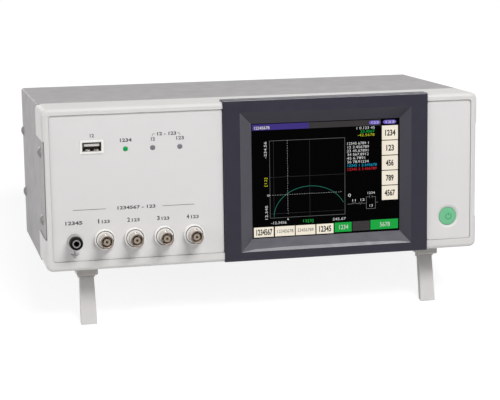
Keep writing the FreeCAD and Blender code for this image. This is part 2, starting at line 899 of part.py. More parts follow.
def bottom_tray():
    """Folded tray under the boards, with pressed standoffs, foot holes and vents."""
    front = bezel_depth + fit_gap
    back = rear_inner - fit_gap
    floor = box(-tray_half, tray_half, front, back, 0, sheet)
    side = box(tray_half - sheet, tray_half, ear_depth + fit_gap, back, 0, tray_flange)
    rear = box(-tray_half, tray_half, back - sheet, back, 0, tray_flange)
    tray = floor.fuse(both_sides(side) + [rear])
    for x, y in standoff_places():
        tray = tray.fuse(rod_z(x, y, standoff_radius, 0, main_board_z))
    cuts = []
    for i in range(tray_vent_count):
        y = main_board_front + tray_vent_setback + i * vent_pitch
        for side_x in (-tray_vent_offset, tray_vent_offset):
            cuts.append(box(side_x - vent_height / 2, side_x + vent_height / 2,
                            y - vent_width / 2, y + vent_width / 2, -past, sheet + past))
    for side_x in (-leg_x, leg_x):
        for offset in (-foot_screw_spread, foot_screw_spread):
            cuts.append(rod_z(side_x + offset, rear_foot_y, foot_screw_radius + hole_gap,
                              -past, sheet + past))
    return tray.cut(cuts).removeSplitter()


def standoff_places():
    reach = main_board_half - standoff_inset
    rows = (main_board_front + standoff_inset, main_board_back - standoff_inset)
    return [(x, y) for x in (-reach, 0, reach) for y in rows]


def rear_panel():
    top = cover_top - sheet - fit_gap
    low = sheet + fit_gap
    plate = front_extrusion([
        (-tray_half, low), (tray_half, low), (tray_half, top - cover_bend),
        (tray_half - cover_bend, top), (cover_bend - tray_half, top),
        (-tray_half, top - cover_bend),
    ], rear_inner, rear_face)
    side = box(tray_half - rear_thickness, tray_half, rear_inner - rear_flange, rear_face,
               rear_flange_clear, top - tray_corner_clear)
    plate = plate.fuse(both_sides(side))
    lid = box(-tray_half + tray_corner_clear, tray_half - tray_corner_clear,
              rear_inner - rear_flange, rear_face, top - rear_thickness, top)
    plate = plate.fuse(lid)
    y0 = rear_inner - past
    y1 = rear_face + past
    cuts = [
        centred_box(inlet_x, inlet_height, inlet_width + 2 * hole_gap,
                    inlet_body_height + 2 * hole_gap, y0, y1),
        centred_box(inlet_x, rocker_height, rocker_frame_width() + 2 * hole_gap,
                    rocker_frame_height() + 2 * hole_gap, y0, y1),
        centred_box(io_x, io_z, io_shell_width + 2 * hole_gap,
                    io_shell_height + 2 * hole_gap, y0, y1),
        centred_box(usb_b_x, usb_b_z, usb_b_width + 2 * hole_gap,
                    usb_b_height + 2 * hole_gap, y0, y1),
        centred_box(option_x, option_z, option_width - 2 * option_side_margin,
                    option_height - 2 * option_margin, y0, y1),
        rod_y(sensor_x, sensor_z, sensor_hub_radius + hole_gap, y0, y1),
    ]
    first = -half_width + vent_from_left
    for i in range(vent_count):
        cuts.append(vent_slot(first + i * vent_pitch, vent_center_height, y0, y1))
    for x, z in option_screw_places():
        cuts.append(rod_y(x, z, screw_radius + hole_gap, y0, y1))
    for side_x in (-io_screw_spread, io_screw_spread):
        cuts.append(rod_y(io_x + side_x, io_z, screw_radius + hole_gap, y0, y1))
    for z in (side_screw_low, case_height - side_screw_drop):
        hole = rod_x(case_depth - side_screw_rear, z, screw_radius + hole_gap,
                     tray_half - rear_thickness - past, tray_half + past)
        cuts += both_sides(hole)
    return plate.cut(cuts).removeSplitter()


def option_screw_places():
    reach = option_width / 2 - option_screw_inset
    return [(option_x - reach, option_z), (option_x + reach, option_z)]


def option_plate():
    plate = rounded_plate(
        option_x - option_width / 2, option_x + option_width / 2,
        option_z - option_height / 2, option_z + option_height / 2,
        pocket_corner, rear_face, rear_face + option_thickness
    )
    holes = [rod_y(x, z, screw_radius + hole_gap, rear_face - past, rear_face + option_thickness + past)
             for x, z in option_screw_places()]
    return plate.cut(holes)


def side_screws():
    solids = []
    for y, z in side_screw_places:
        solids += both_sides(screw(V(cover_half, y, z), V(1, 0, 0)))
    return Part.makeCompound(solids)


def rear_screws():
    seat = rear_face + option_thickness
    return Part.makeCompound([screw(V(x, seat, z), V(0, 1, 0))
                              for x, z in option_screw_places()])


# Feet and legs

def table_cutter():
    """Everything below the table, which touches the leg tips and the rear heels."""
    along = V(0, math.cos(tilt), math.sin(tilt))
    down = V(0, math.sin(tilt), -math.cos(tilt))
    start = V(-case_width, tip_y, tip_z) - along * case_depth
    corners = [start, start + along * 3 * case_depth]
    corners += [corners[1] + down * case_height, start + down * case_height]
    face = Part.Face(Part.makePolygon(corners + corners[:1]))
    return face.extrude(V(2 * case_width, 0, 0))


def front_foot(side):
    """Moulded foot with a slot between two cheeks where the leg turns."""
    x = side * leg_x
    back = foot_front + foot_length
    block = box(x - foot_width / 2, x + foot_width / 2, foot_front, back, -foot_height, 0)
    lower = picked_edges(block, lambda b: b.ZMax < -foot_height + tiny)
    block = block.makeChamfer(foot_edge, lower)
    slot = box(x - foot_width / 2 + foot_cheek, x + foot_width / 2 - foot_cheek,
               foot_front + foot_wall, back + past, -foot_height - past, past)
    bore = rod_x(hinge_y, hinge_z, hinge_pin_radius + pin_gap,
                 x - foot_width / 2 - past, x + foot_width / 2 + past)
    cuts = [slot, bore]
    for offset in (-foot_screw_spread, foot_screw_spread):
        cuts.append(rod_z(x + offset, foot_front + foot_wall / 2, foot_screw_radius + hole_gap,
                          -foot_screw_depth, past))
    return block.cut(cuts)


def leg(side, table):
    """Tapered leg: knuckle round the pin, wide shoulder, tip cut to lie on the table."""
    x = side * leg_x
    along = (-math.sin(leg_lean), -math.cos(leg_lean))
    across = (math.cos(leg_lean), -math.sin(leg_lean))

    def place(distance, offset):
        y = hinge_y + along[0] * distance + across[0] * offset
        z = hinge_z + along[1] * distance + across[1] * offset
        return (y, z)

    def slab(distance):
        share = distance / leg_reach
        return (leg_root_depth + (leg_tip_depth - leg_root_depth) * share) / 2

    far = leg_reach + leg_tip_depth
    blade = side_extrusion([
        place(0, -slab(0)), place(far, -slab(far)), place(far, slab(far)), place(0, slab(0)),
    ], x - leg_tip_width, x + leg_tip_width)
    front = [(-leg_root_width / 2, hinge_z + lap), (leg_root_width / 2, hinge_z + lap),
             (leg_tip_width / 2, tip_z - lap), (-leg_tip_width / 2, tip_z - lap)]
    blade = blade.common(front_extrusion([(x + u, z) for u, z in front], 0, 2 * hinge_y))
    shoulder_half = foot_width / 2 - foot_cheek - moving_gap
    shoulder = side_extrusion([
        place(0, -slab(0)), place(leg_shoulder, -slab(leg_shoulder)),
        place(leg_shoulder, slab(leg_shoulder)), place(0, slab(0)),
    ], x - shoulder_half, x + shoulder_half)
    knuckle = rod_x(hinge_y, hinge_z, knuckle_radius, x - shoulder_half, x + shoulder_half)
    bore = rod_x(hinge_y, hinge_z, hinge_pin_radius + pin_gap,
                 x - shoulder_half - past, x + shoulder_half + past)
    return blade.fuse([shoulder, knuckle]).cut([bore, table]).removeSplitter()


def hinge_pin(side):
    x = side * leg_x
    half = foot_width / 2 - fit_gap
    return rod_x(hinge_y, hinge_z, hinge_pin_radius, x - half, x + half)


def rear_foot(side, table):
    x = side * leg_x
    block = box(x - foot_width / 2, x + foot_width / 2, rear_foot_y - foot_length / 2,
                rear_foot_y + foot_length / 2, -foot_height, 0)
    corners = picked_edges(block, lambda b: b.ZLength > foot_height - tiny)
    block = block.makeFillet(rear_foot_corner, corners)
    holes = [rod_z(x + offset, rear_foot_y, foot_screw_radius + hole_gap, -foot_screw_depth, past)
             for offset in (-foot_screw_spread, foot_screw_spread)]
    return block.cut(holes + [table])


def foot_screws():
    solids = []
    rows = ((foot_front + foot_wall / 2, bezel_wall), (rear_foot_y, sheet))
    for y, seat in rows:
        for side in (-1, 1):
            for offset in (-foot_screw_spread, foot_screw_spread):
                x = side * leg_x + offset
                shank = rod_z(x, y, foot_screw_radius, hole_gap - foot_screw_depth, seat)
                head = rod_z(x, y, foot_screw_head, seat, seat + foot_screw_head_height)
                solids.append(shank.fuse(head))
    return Part.makeCompound(solids)


# Inside

def front_board():
    left = -cavity_half + boss_length + front_board_margin
    right = display_left - front_board_clear
    low = jack_height + front_board_rise
    high = case_height - front_board_drop
    board = box(left, right, front_board_depth, front_board_depth + board_thickness, low, high)
    spacers = [
        hexagon_post(x, z, standoff_radius, subpanel_back, front_board_depth)
        for x in (left + standoff_inset, right - standoff_inset)
        for z in (low + standoff_inset, high - standoff_inset)
    ]
    return board.fuse(spacers)


def main_board():
    return box(-main_board_half, main_board_half, main_board_front, main_board_back,
               main_board_z, main_board_z + board_thickness)


def shield_can():
    left = -main_board_half + can_margin
    front = main_board_front + can_setback
    low = main_board_z + board_thickness
    can = box(left, left + can_width, front, front + can_length, low, low + can_height)
    room = box(left + can_wall, left + can_width - can_wall, front + can_wall,
               front + can_length - can_wall, low - past, low + can_height - can_wall)
    return can.cut(room)


def power_supply():
    """Bracket with a transformer, two capacitors and a finned heat sink."""
    right = main_board_half - supply_side_margin
    left = right - supply_width
    front = main_board_front + supply_end_margin
    back = main_board_back - supply_end_margin
    low = main_board_z + board_thickness
    floor = box(left, right, front, back, low, low + supply_wall)
    wall = box(right - supply_wall, right, front, back, low, low + supply_height)
    core_left = left + transformer_inset
    core_front = front + transformer_inset
    parts = [wall, box(core_left, core_left + transformer_width, core_front,
                       core_front + transformer_length, low, low + transformer_height)]
    for i in range(2):
        y = back - capacitor_rear - i * capacitor_pitch
        parts.append(rod_z(left + capacitor_inset, y, capacitor_radius,
                           low, low + capacitor_height))
    for i in range(fin_count):
        x = left + fin_inset + i * fin_pitch
        parts.append(box(x, x + fin_thickness, back - fin_rear - fin_length, back - fin_rear,
                         low, low + fin_height))
    return floor.fuse(parts).removeSplitter()


# Rear connectors

def inlet_outline(grow):
    """Six-sided outline of an appliance inlet, with two cut corners."""
    half = inlet_half + grow
    low = inlet_height - inlet_body_half - grow
    high = inlet_height + inlet_body_half + grow
    cut = inlet_corner_cut
    return [
        (inlet_x - half, low), (inlet_x + half, low), (inlet_x + half, high - cut),
        (inlet_x + half - cut, high), (inlet_x - half + cut, high), (inlet_x - half, high - cut),
    ]


def mains_inlet():
    flange = centred_box(inlet_x, inlet_height, inlet_width + 2 * inlet_flange,
                         inlet_body_height + 2 * inlet_flange,
                         rear_face, rear_face + inlet_flange_depth)
    body = centred_box(inlet_x, inlet_height, inlet_width, inlet_body_height,
                       rear_face - inlet_body_depth, rear_face)
    mouth = rear_face + inlet_flange_depth
    cavity = front_extrusion(inlet_outline(-inlet_wall), mouth - inlet_cavity_depth, mouth + past)
    slots = [centred_box(x, z, inlet_pin_width + 2 * hole_gap, inlet_pin_height + 2 * hole_gap,
                         rear_face - inlet_body_depth - past, mouth)
             for x, z in inlet_pin_places()]
    return flange.fuse(body).cut([cavity] + slots).removeSplitter()


def inlet_pin_places():
    low = inlet_height - inlet_pin_offset
    return [
        (inlet_x - inlet_pin_spread, low), (inlet_x + inlet_pin_spread, low),
        (inlet_x, inlet_height + inlet_pin_offset),
    ]


def inlet_pins():
    floor = rear_face + inlet_flange_depth - inlet_cavity_depth
    back = rear_face - inlet_body_depth - inlet_pin_height
    return Part.makeCompound([
        centred_box(x, z, inlet_pin_width, inlet_pin_height, back, floor + inlet_pin_length)
        for x, z in inlet_pin_places()
    ])


def rocker_frame_width():
    return rocker_width + 2 * (moving_gap + rocker_frame_wall)


def rocker_frame_height():
    return 2 * (rocker_cavity_half + rocker_frame_wall)


def rocker_frame():
    width = rocker_frame_width()
    height = rocker_frame_height()
    mouth = rear_face + rocker_flange_depth
    flange = centred_box(inlet_x, rocker_height, width + 2 * rocker_flange,
                         height + 2 * rocker_flange, rear_face, mouth)
    body = centred_box(inlet_x, rocker_height, width, height,
                       rear_face - rocker_body_depth, rear_face)
    floor = rocker_pivot_y - rocker_radius
    cavity = centred_box(inlet_x, rocker_height, width - 2 * rocker_frame_wall,
                         height - 2 * rocker_frame_wall, floor, mouth + past)
    bore = rod_x(rocker_pivot_y, rocker_height, rocker_axle + pin_gap,
                 inlet_x - width / 2 + hole_gap, inlet_x + width / 2 - hole_gap)
    return flange.fuse(body).cut([cavity, bore]).removeSplitter()


def main_rocker():
    """Rocker with two flat halves that meet in a shallow V, pressed at the top."""
    half = rocker_length / 2
    rise = half * math.tan(math.radians(rocker_tilt_deg))
    crest = rear_face + rocker_flange_depth
    outline = [
        (rocker_pivot_y - rocker_hub, rocker_height - rocker_hub),
        (rocker_pivot_y - rocker_hub, rocker_height + rocker_hub),
        (rocker_pivot_y, rocker_height + half - rise),
        (crest + rise - rocker_end_drop, rocker_height + half - rise),
        (crest - rocker_valley, rocker_height),
        (crest + rise - rocker_end_drop, rocker_height - half + rise),
        (rocker_pivot_y, rocker_height - half + rise),
    ]
    cap = side_extrusion(outline, inlet_x - rocker_half, inlet_x + rocker_half)
    cap.rotate(V(inlet_x, rocker_pivot_y, rocker_height), V(1, 0, 0), rocker_tilt_deg)
    reach = rocker_half + moving_gap + rocker_frame_wall - fit_gap
    axle = rod_x(rocker_pivot_y, rocker_height, rocker_axle, inlet_x - reach, inlet_x + reach)
    return cap.fuse(axle).removeSplitter()


def trapezoid(x, z, width, height):
    """D-shaped connector outline, narrower at the bottom."""
    slant = height * math.tan(math.radians(io_slant_deg))
    return [
        (x - width / 2 + slant, z - height / 2), (x + width / 2 - slant, z - height / 2),
        (x + width / 2, z + height / 2), (x - width / 2, z + height / 2),
    ]


def io_connector_shell():
    flange = centred_box(io_x, io_z, io_flange_width, io_flange_height,
                         rear_face, rear_face + io_flange_thickness)
    end = rear_face + io_shell_proud
    hood = front_extrusion(trapezoid(io_x, io_z, io_shell_width, io_shell_height),
                           rear_face, end)
    room = front_extrusion(
        trapezoid(io_x, io_z, io_shell_width - 2 * io_shell_wall,
                  io_shell_height - 2 * io_shell_wall),
        rear_face - past, end + past)
    holes = [rod_y(io_x + side, io_z, screw_radius + hole_gap, rear_face - past, end)
             for side in (-io_screw_spread, io_screw_spread)]
    return flange.fuse(hood).cut([room] + holes).removeSplitter()


def io_connector_insert():
    """Insulating block with two rows of contact holes."""
    width = io_shell_width - 2 * io_shell_wall - 2 * hole_gap
    height = io_shell_height - 2 * io_shell_wall - 2 * hole_gap
    front = rear_face - io_body_depth
    end = rear_face + io_shell_proud - io_insert_recess
    block = front_extrusion(trapezoid(io_x, io_z, width, height), front, end)
    holes = []
    for row, count in ((1, io_contact_count), (-1, io_contact_count - 1)):
        for i in range(count):
            x = io_x + (i - (count - 1) / 2) * io_contact_pitch
            z = io_z + row * io_contact_pitch / 2
            holes.append(centred_box(x, z, 2 * io_contact_radius, 2 * io_contact_radius,
                                     end - io_contact_hole, end + past))
    return block.cut(holes)


def io_jack_screws():
    seat = rear_face + io_flange_thickness
    solids = []
    for side in (-io_screw_spread, io_screw_spread):
        x = io_x + side
        post = hexagon_nut(x, io_z, io_screw_flats, io_screw_hole,
                           seat, seat + io_screw_length)
        solids.append(post.fuse(rod_y(x, io_z, screw_radius, seat - screw_length, seat)))
    return Part.makeCompound(solids)


def usb_b_port():
    """Square socket with two cut corners and a tongue in the middle."""
    end = rear_face + hole_gap
    start = rear_face - usb_b_depth
    half = usb_b_width / 2
    cut = usb_b_corner_cut

    def outline(grow):
        low = usb_b_z - usb_b_height / 2 - grow
        high = usb_b_z + usb_b_height / 2 + grow
        side = half + grow
        return [
            (usb_b_x - side, low), (usb_b_x + side, low), (usb_b_x + side, high - cut),
            (usb_b_x + side - cut, high), (usb_b_x - side + cut, high),
            (usb_b_x - side, high - cut),
        ]

    shell = front_extrusion(outline(0), start, end)
    room = front_extrusion(outline(-2 * usb_wall), start + usb_b_floor, end + past)
    tongue = centred_box(usb_b_x, usb_b_z, usb_b_tongue_width, usb_b_tongue_height,
                         start + usb_b_floor - lap, end - usb_b_tongue_recess)
    return shell.cut(room).fuse(tongue).removeSplitter()


def sensor_jack():
    end = rear_face + sensor_nut_thickness
    return turned([
        (sensor_bore_radius, rear_inner - sensor_length),
        (sensor_hub_radius + sensor_shoulder, rear_inner - sensor_length),
        (sensor_hub_radius + sensor_shoulder, rear_inner - hole_gap),
        (sensor_hub_radius, rear_inner - hole_gap),
        (sensor_hub_radius, rear_face + hole_gap),
        (sensor_nut_radius, rear_face + hole_gap),
        (sensor_nut_radius, end), (sensor_bore_radius, end),
    ], sensor_x, sensor_z)


def all_nodes():
    table = table_cutter()
    nodes = {
        "front_bezel": front_bezel(),
        "display_bezel": display_bezel(),
        "left_panel": left_panel(),
        "right_panel": right_panel(),
        "touch_panel": touch_panel(),
        "lcd_module": lcd_module(),
        "front_subpanel": front_subpanel(),
        "top_cover": top_cover(),
        "bottom_tray": bottom_tray(),
        "rear_panel": rear_panel(),
        "side_screws": side_screws(),
        "foot_screws": foot_screws(),
        "rear_screws": rear_screws(),
        "bnc_bushes": Part.makeCompound([bnc_bush(x) for x in bnc_xs]),
        "jack_nuts": jack_nuts(),
        "guard_jack_body": guard_jack_body(),
        "guard_jack_ring": guard_jack_ring(),
        "guard_jack_sleeve": guard_jack_sleeve(),
        "usb_frame": usb_frame(),
        "usb_shell": usb_shell(),
        "usb_tongue": usb_tongue(),
        "power_button": power_button(),
        "power_switch": power_switch(),
        "front_board": front_board(),
        "main_board": main_board(),
        "shield_can": shield_can(),
        "power_supply": power_supply(),
        "mains_inlet": mains_inlet(),
        "inlet_pins": inlet_pins(),
        "rocker_frame": rocker_frame(),
        "main_rocker": main_rocker(),
        "io_connector_shell": io_connector_shell(),
        "io_connector_insert": io_connector_insert(),
        "io_jack_screws": io_jack_screws(),
        "usb_b_port": usb_b_port(),
        "option_plate": option_plate(),
        "sensor_jack": sensor_jack(),
    }
    for i, x in enumerate(bnc_xs, start=1):
        nodes["bnc_shell_%d" % i] = bnc_shell(x)
        nodes["bnc_insulator_%d" % i] = bnc_insulator(x)
        nodes["bnc_contact_%d" % i] = bnc_contact(x)
    for i, x in enumerate(lamp_xs, start=1):
        nodes["status_lamp_%d" % i] = status_lamp(x)
    for name, side in (("left", -1), ("right", 1)):
        nodes[name + "_front_foot"] = front_foot(side)
        nodes[name + "_leg"] = leg(side, table)
        nodes[name + "_hinge_pin"] = hinge_pin(side)
        nodes[name + "_rear_foot"] = rear_foot(side, table)
    return nodes


nodes = all_nodes()
lean_back = -math.degrees(tilt)
for shape in nodes.values():
    shape.rotate(V(0, 0, 0), V(1, 0, 0), lean_back)
whole = Part.makeCompound(list(nodes.values())).optimalBoundingBox()
shift = V(-(whole.XMin + whole.XMax) / 2, -(whole.YMin + whole.YMax) / 2, -whole.ZMin)
os.makedirs("parts", exist_ok=True)
for name, shape in nodes.items():
    shape.translate(shift)
    shape.exportStep("parts/%s.step" % name)
print("nodes", len(nodes), "tilt", round(math.degrees(tilt), 4), "shift", shift)
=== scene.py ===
import json
import math

import bmesh
import bpy
from mathutils import Matrix, Vector


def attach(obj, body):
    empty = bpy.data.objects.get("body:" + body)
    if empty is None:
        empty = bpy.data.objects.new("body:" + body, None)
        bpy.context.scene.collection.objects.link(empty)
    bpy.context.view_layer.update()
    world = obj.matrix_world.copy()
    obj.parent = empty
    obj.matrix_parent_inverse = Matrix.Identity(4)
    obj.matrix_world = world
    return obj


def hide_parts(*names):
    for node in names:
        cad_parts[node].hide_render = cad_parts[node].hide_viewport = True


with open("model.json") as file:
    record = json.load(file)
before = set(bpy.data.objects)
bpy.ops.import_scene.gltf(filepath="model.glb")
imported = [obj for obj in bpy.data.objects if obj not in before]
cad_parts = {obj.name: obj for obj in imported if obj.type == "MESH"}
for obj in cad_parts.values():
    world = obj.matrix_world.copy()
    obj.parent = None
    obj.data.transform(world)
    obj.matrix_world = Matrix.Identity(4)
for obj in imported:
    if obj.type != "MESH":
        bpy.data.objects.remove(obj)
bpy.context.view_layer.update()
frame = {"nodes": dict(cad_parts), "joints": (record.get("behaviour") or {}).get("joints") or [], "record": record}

NODES = frame["nodes"]

# The part leans back on its legs. Everything here is written in the case's own level
# millimetres (X right, Y from front to rear, Z up from the underside) and then placed.
joints = {joint["name"]: joint for joint in frame["joints"]}
inward = Vector(joints["power_button_press"]["axis"])
LEAN = Matrix.Rotation(math.atan2(inward.z, inward.y), 4, "X")
HINGE_IN_CASE = Vector((133.0, 30.2, -4.6))
MM = 0.001
TO_ROW = (
    Matrix.Translation(joints["right_leg_hinge"]["pos_m"])
    @ LEAN
    @ Matrix.Scale(MM, 4)
    @ Matrix.Translation(-HINGE_IN_CASE)
)

# Camera fitted to the photograph's view
FOCAL_PIXELS = 1554.0
PICTURE_WIDTH = 500
SENSOR = 36.0
CAMERA_AT = Vector((-269.7, -1104.5, 240.4))
CAMERA_FORWARD = Vector((0.22285212, 0.96004829, -0.16924601))
CAMERA_RIGHT = Vector((0.97345925, -0.22843216, -0.01399413))

# Places in the case's frame
PANEL_FRONT = 1.0
SCREEN_FRONT = 5.75
JACK_HEIGHT = 22.4
JACK_MOUTH, COLLAR_FRONT, BUSH_FRONT = -13.0, -2.8, -0.6
BARREL_RADIUS, BORE_RADIUS, COLLAR_RADIUS = 4.8, 4.05, 6.1
FRAME_FRONT = -0.8
GUARD_X = -144.1
GUARD_BORE_RADIUS = 2.2
BNC_XS = [-122.1 + 22.0 * i for i in range(4)]
LAMP_XS = [-105.0, -85.0, -65.0]
LAMP_HEIGHT = 87.9
USB_AT = (-129.4, 90.4)
USB_HALF_HEIGHT, USB_WALL = 3.3, 0.4
USB_TONGUE_DROP, USB_TONGUE_THICKNESS = 0.7, 1.9
BUTTON_AT = (142.3, 24.7)
BUTTON_FRONT = 1.5
SCREEN_LEFT, SCREEN_RIGHT = -10.4, 104.8
SCREEN_LOW, SCREEN_HIGH = 15.1, 101.5
COVER_SIDE = 164.2
OPTION_PLATE_FACE = 167.0
SIDE_SCREWS = [(y, z) for y in (24.0, 160.0) for z in (35.0, 85.0)]
REAR_SCREWS = [(x, 89.0) for x in (-140.5, -65.5)]
ROCKER_EDGE = [(119.0, 169.66, 57.28), (119.0, 166.73, 64.91), (119.0, 167.16, 73.07)]

WORLD_LIGHT = 0.25
FLOOR_SIZE, FLOOR_BOUNCE, FLOOR_SHADE, FLOOR_GLOW = 6.0, 0.8, 0.24, 0.86
LAMPS = [
    # name, place, aimed at, width, height, watts
    ("key", (0.4, -0.85, 1.75), (0.0, 0.0, 0.05), 1.1, 0.6, 28.5),
    ("fill", (-1.7, -0.5, 0.6), (0.0, 0.0, 0.08), 1.0, 0.8, 7.8),
    ("back", (-0.8, 1.6, 0.2), (0.0, 0.0, 0.06), 1.0, 0.4, 4.0),
]

# Radius of the edges in mm; nodes that aren't named stay sharp
EDGE_RADIUS = {
    "front_bezel": 0.35, "display_bezel": 0.5, "left_panel": 0.12, "right_panel": 0.12,
    "top_cover": 0.3, "usb_frame": 0.15,
    "left_front_foot": 0.4, "right_front_foot": 0.4, "left_rear_foot": 0.4,
    "right_rear_foot": 0.4, "left_leg": 0.3, "right_leg": 0.3, "mains_inlet": 0.3,
    "rocker_frame": 0.3, "main_rocker": 0.3, "option_plate": 0.15, "bnc_bushes": 0.2,
    "guard_jack_body": 0.2, "guard_jack_ring": 0.2, "guard_jack_sleeve": 0.1,
    "io_connector_shell": 0.12, "io_jack_screws": 0.15,
    "usb_shell": 0.08, "usb_tongue": 0.12, "usb_b_port": 0.1, "sensor_jack": 0.2,
    "power_button": 0.3,
}
for count in range(1, len(BNC_XS) + 1):
    EDGE_RADIUS["bnc_shell_%d" % count] = 0.12
    EDGE_RADIUS["bnc_insulator_%d" % count] = 0.1
    EDGE_RADIUS["bnc_contact_%d" % count] = 0.05

# Nodes with a finish other than their slot's
OTHER_FINISH = {
    "usb_shell": "port_metal", "usb_tongue": "port_tongue",
    "guard_jack_ring": "jack_black", "guard_jack_sleeve": "sleeve_metal",
}


# Camera, floor and light

def make_camera():
    data = bpy.data.cameras.new("camera")
    data.sensor_fit = "HORIZONTAL"
    data.sensor_width = SENSOR
    data.lens = FOCAL_PIXELS * SENSOR / PICTURE_WIDTH
    data.clip_start = 0.05
    data.clip_end = 50.0
    camera = bpy.data.objects.new("camera", data)
    bpy.context.scene.collection.objects.link(camera)
    forward = CAMERA_FORWARD.normalized()
    right = (CAMERA_RIGHT - forward * CAMERA_RIGHT.dot(forward)).normalized()
    up = right.cross(forward)
    turn = Matrix((right, up, -forward)).transposed().to_4x4()
    place = LEAN @ turn
    place.translation = TO_ROW @ CAMERA_AT
    camera.matrix_world = place
    bpy.context.scene.camera = camera


def linear(red, green, blue):
    """Shader values of a colour written as 0-255 screen values."""
    values = []
    for value in (red, green, blue):
        value /= 255
        low = value / 12.92
        high = ((value + 0.055) / 1.055) ** 2.4
        values.append(low if value <= 0.04045 else high)
    return (*values, 1.0)


def seen_directly(tree):
    """1 for rays that come from the camera, a mirror or glass, else 0."""
    path = tree.nodes.new("ShaderNodeLightPath")
    total = path.outputs["Is Camera Ray"]
    for name in ("Is Glossy Ray", "Is Transmission Ray"):
        step = tree.nodes.new("ShaderNodeMath")
        step.operation = "MAXIMUM"
        tree.links.new(total, step.inputs[0])
        tree.links.new(path.outputs[name], step.inputs[1])
        total = step.outputs[0]
    return total


def make_world():
    """Soft light all round, and white behind the part."""
    world = bpy.data.worlds.new("studio")
    bpy.context.scene.world = world
    world.use_nodes = True
    tree = world.node_tree
    tree.nodes.clear()
    soft = tree.nodes.new("ShaderNodeBackground")
    soft.inputs["Color"].default_value = (0.97, 0.985, 1.0, 1.0)
    soft.inputs["Strength"].default_value = WORLD_LIGHT
    white = tree.nodes.new("ShaderNodeBackground")
    white.inputs["Color"].default_value = (1.0, 1.0, 1.0, 1.0)
    white.inputs["Strength"].default_value = 1.0
    mix = tree.nodes.new("ShaderNodeMixShader")
    out = tree.nodes.new("ShaderNodeOutputWorld")
    tree.links.new(seen_directly(tree), mix.inputs[0])
    tree.links.new(soft.outputs[0], mix.inputs[1])
    tree.links.new(white.outputs[0], mix.inputs[2])
    tree.links.new(mix.outputs[0], out.inputs["Surface"])


def make_floor():
    """White where it is seen, but for the shadow, and plain pale where it bounces light."""
    mesh = bpy.data.meshes.new("floor")
    reach = FLOOR_SIZE
    mesh.from_pydata(
        [(-reach, -reach, 0), (reach, -reach, 0), (reach, reach, 0), (-reach, reach, 0)],
        [], [(0, 1, 2, 3)],
    )
    floor = bpy.data.objects.new("floor", mesh)
    bpy.context.scene.collection.objects.link(floor)
    material = bpy.data.materials.new("floor")
    material.use_nodes = True
    tree = material.node_tree
    tree.nodes.clear()
    plain = tree.nodes.new("ShaderNodeBsdfDiffuse")
    plain.inputs["Color"].default_value = (*[FLOOR_BOUNCE] * 3, 1.0)
    shaded = tree.nodes.new("ShaderNodeBsdfDiffuse")
    shaded.inputs["Color"].default_value = (*[FLOOR_SHADE] * 3, 1.0)
    glow = tree.nodes.new("ShaderNodeEmission")
    glow.inputs["Strength"].default_value = FLOOR_GLOW
    add = tree.nodes.new("ShaderNodeAddShader")
    mix = tree.nodes.new("ShaderNodeMixShader")
    out = tree.nodes.new("ShaderNodeOutputMaterial")
    tree.links.new(shaded.outputs[0], add.inputs[0])
    tree.links.new(glow.outputs[0], add.inputs[1])
    tree.links.new(seen_directly(tree), mix.inputs[0])
    tree.links.new(plain.outputs[0], mix.inputs[1])
    tree.links.new(add.outputs[0], mix.inputs[2])
    tree.links.new(mix.outputs[0], out.inputs["Surface"])
    mesh.materials.append(material)


def make_dark_card():
    """The unlit front of the studio, which only shows in glossy surfaces."""
    mesh = bpy.data.meshes.new("dark_card")
    half, low, high, away = 2.2, -0.2, 1.9, -2.6
    mesh.from_pydata(
        [(-half, away, low), (half, away, low), (half, away, high), (-half, away, high)],
        [], [(0, 1, 2, 3)],
    )
    card = bpy.data.objects.new("dark_card", mesh)
    bpy.context.scene.collection.objects.link(card)
    card.visible_camera = False
    card.visible_diffuse = False
    card.visible_shadow = False
    material = bpy.data.materials.new("dark_card")
    material.use_nodes = True
    shader = material.node_tree.nodes["Principled BSDF"]
    shader.inputs["Base Color"].default_value = (0.02, 0.02, 0.022, 1.0)
    shader.inputs["Roughness"].default_value = 1.0
    mesh.materials.append(material)


def make_light(name, place, target, width, height, watts):
    data = bpy.data.lights.new(name, "AREA")
    data.shape = "RECTANGLE"
    data.size = width
    data.size_y = height
    data.energy = watts
    light = bpy.data.objects.new(name, data)
    bpy.context.scene.collection.objects.link(light)
    light.location = place
    toward = Vector(target) - Vector(place)
    light.rotation_mode = "QUATERNION"
    light.rotation_quaternion = toward.to_track_quat("-Z", "Y")


# Materials

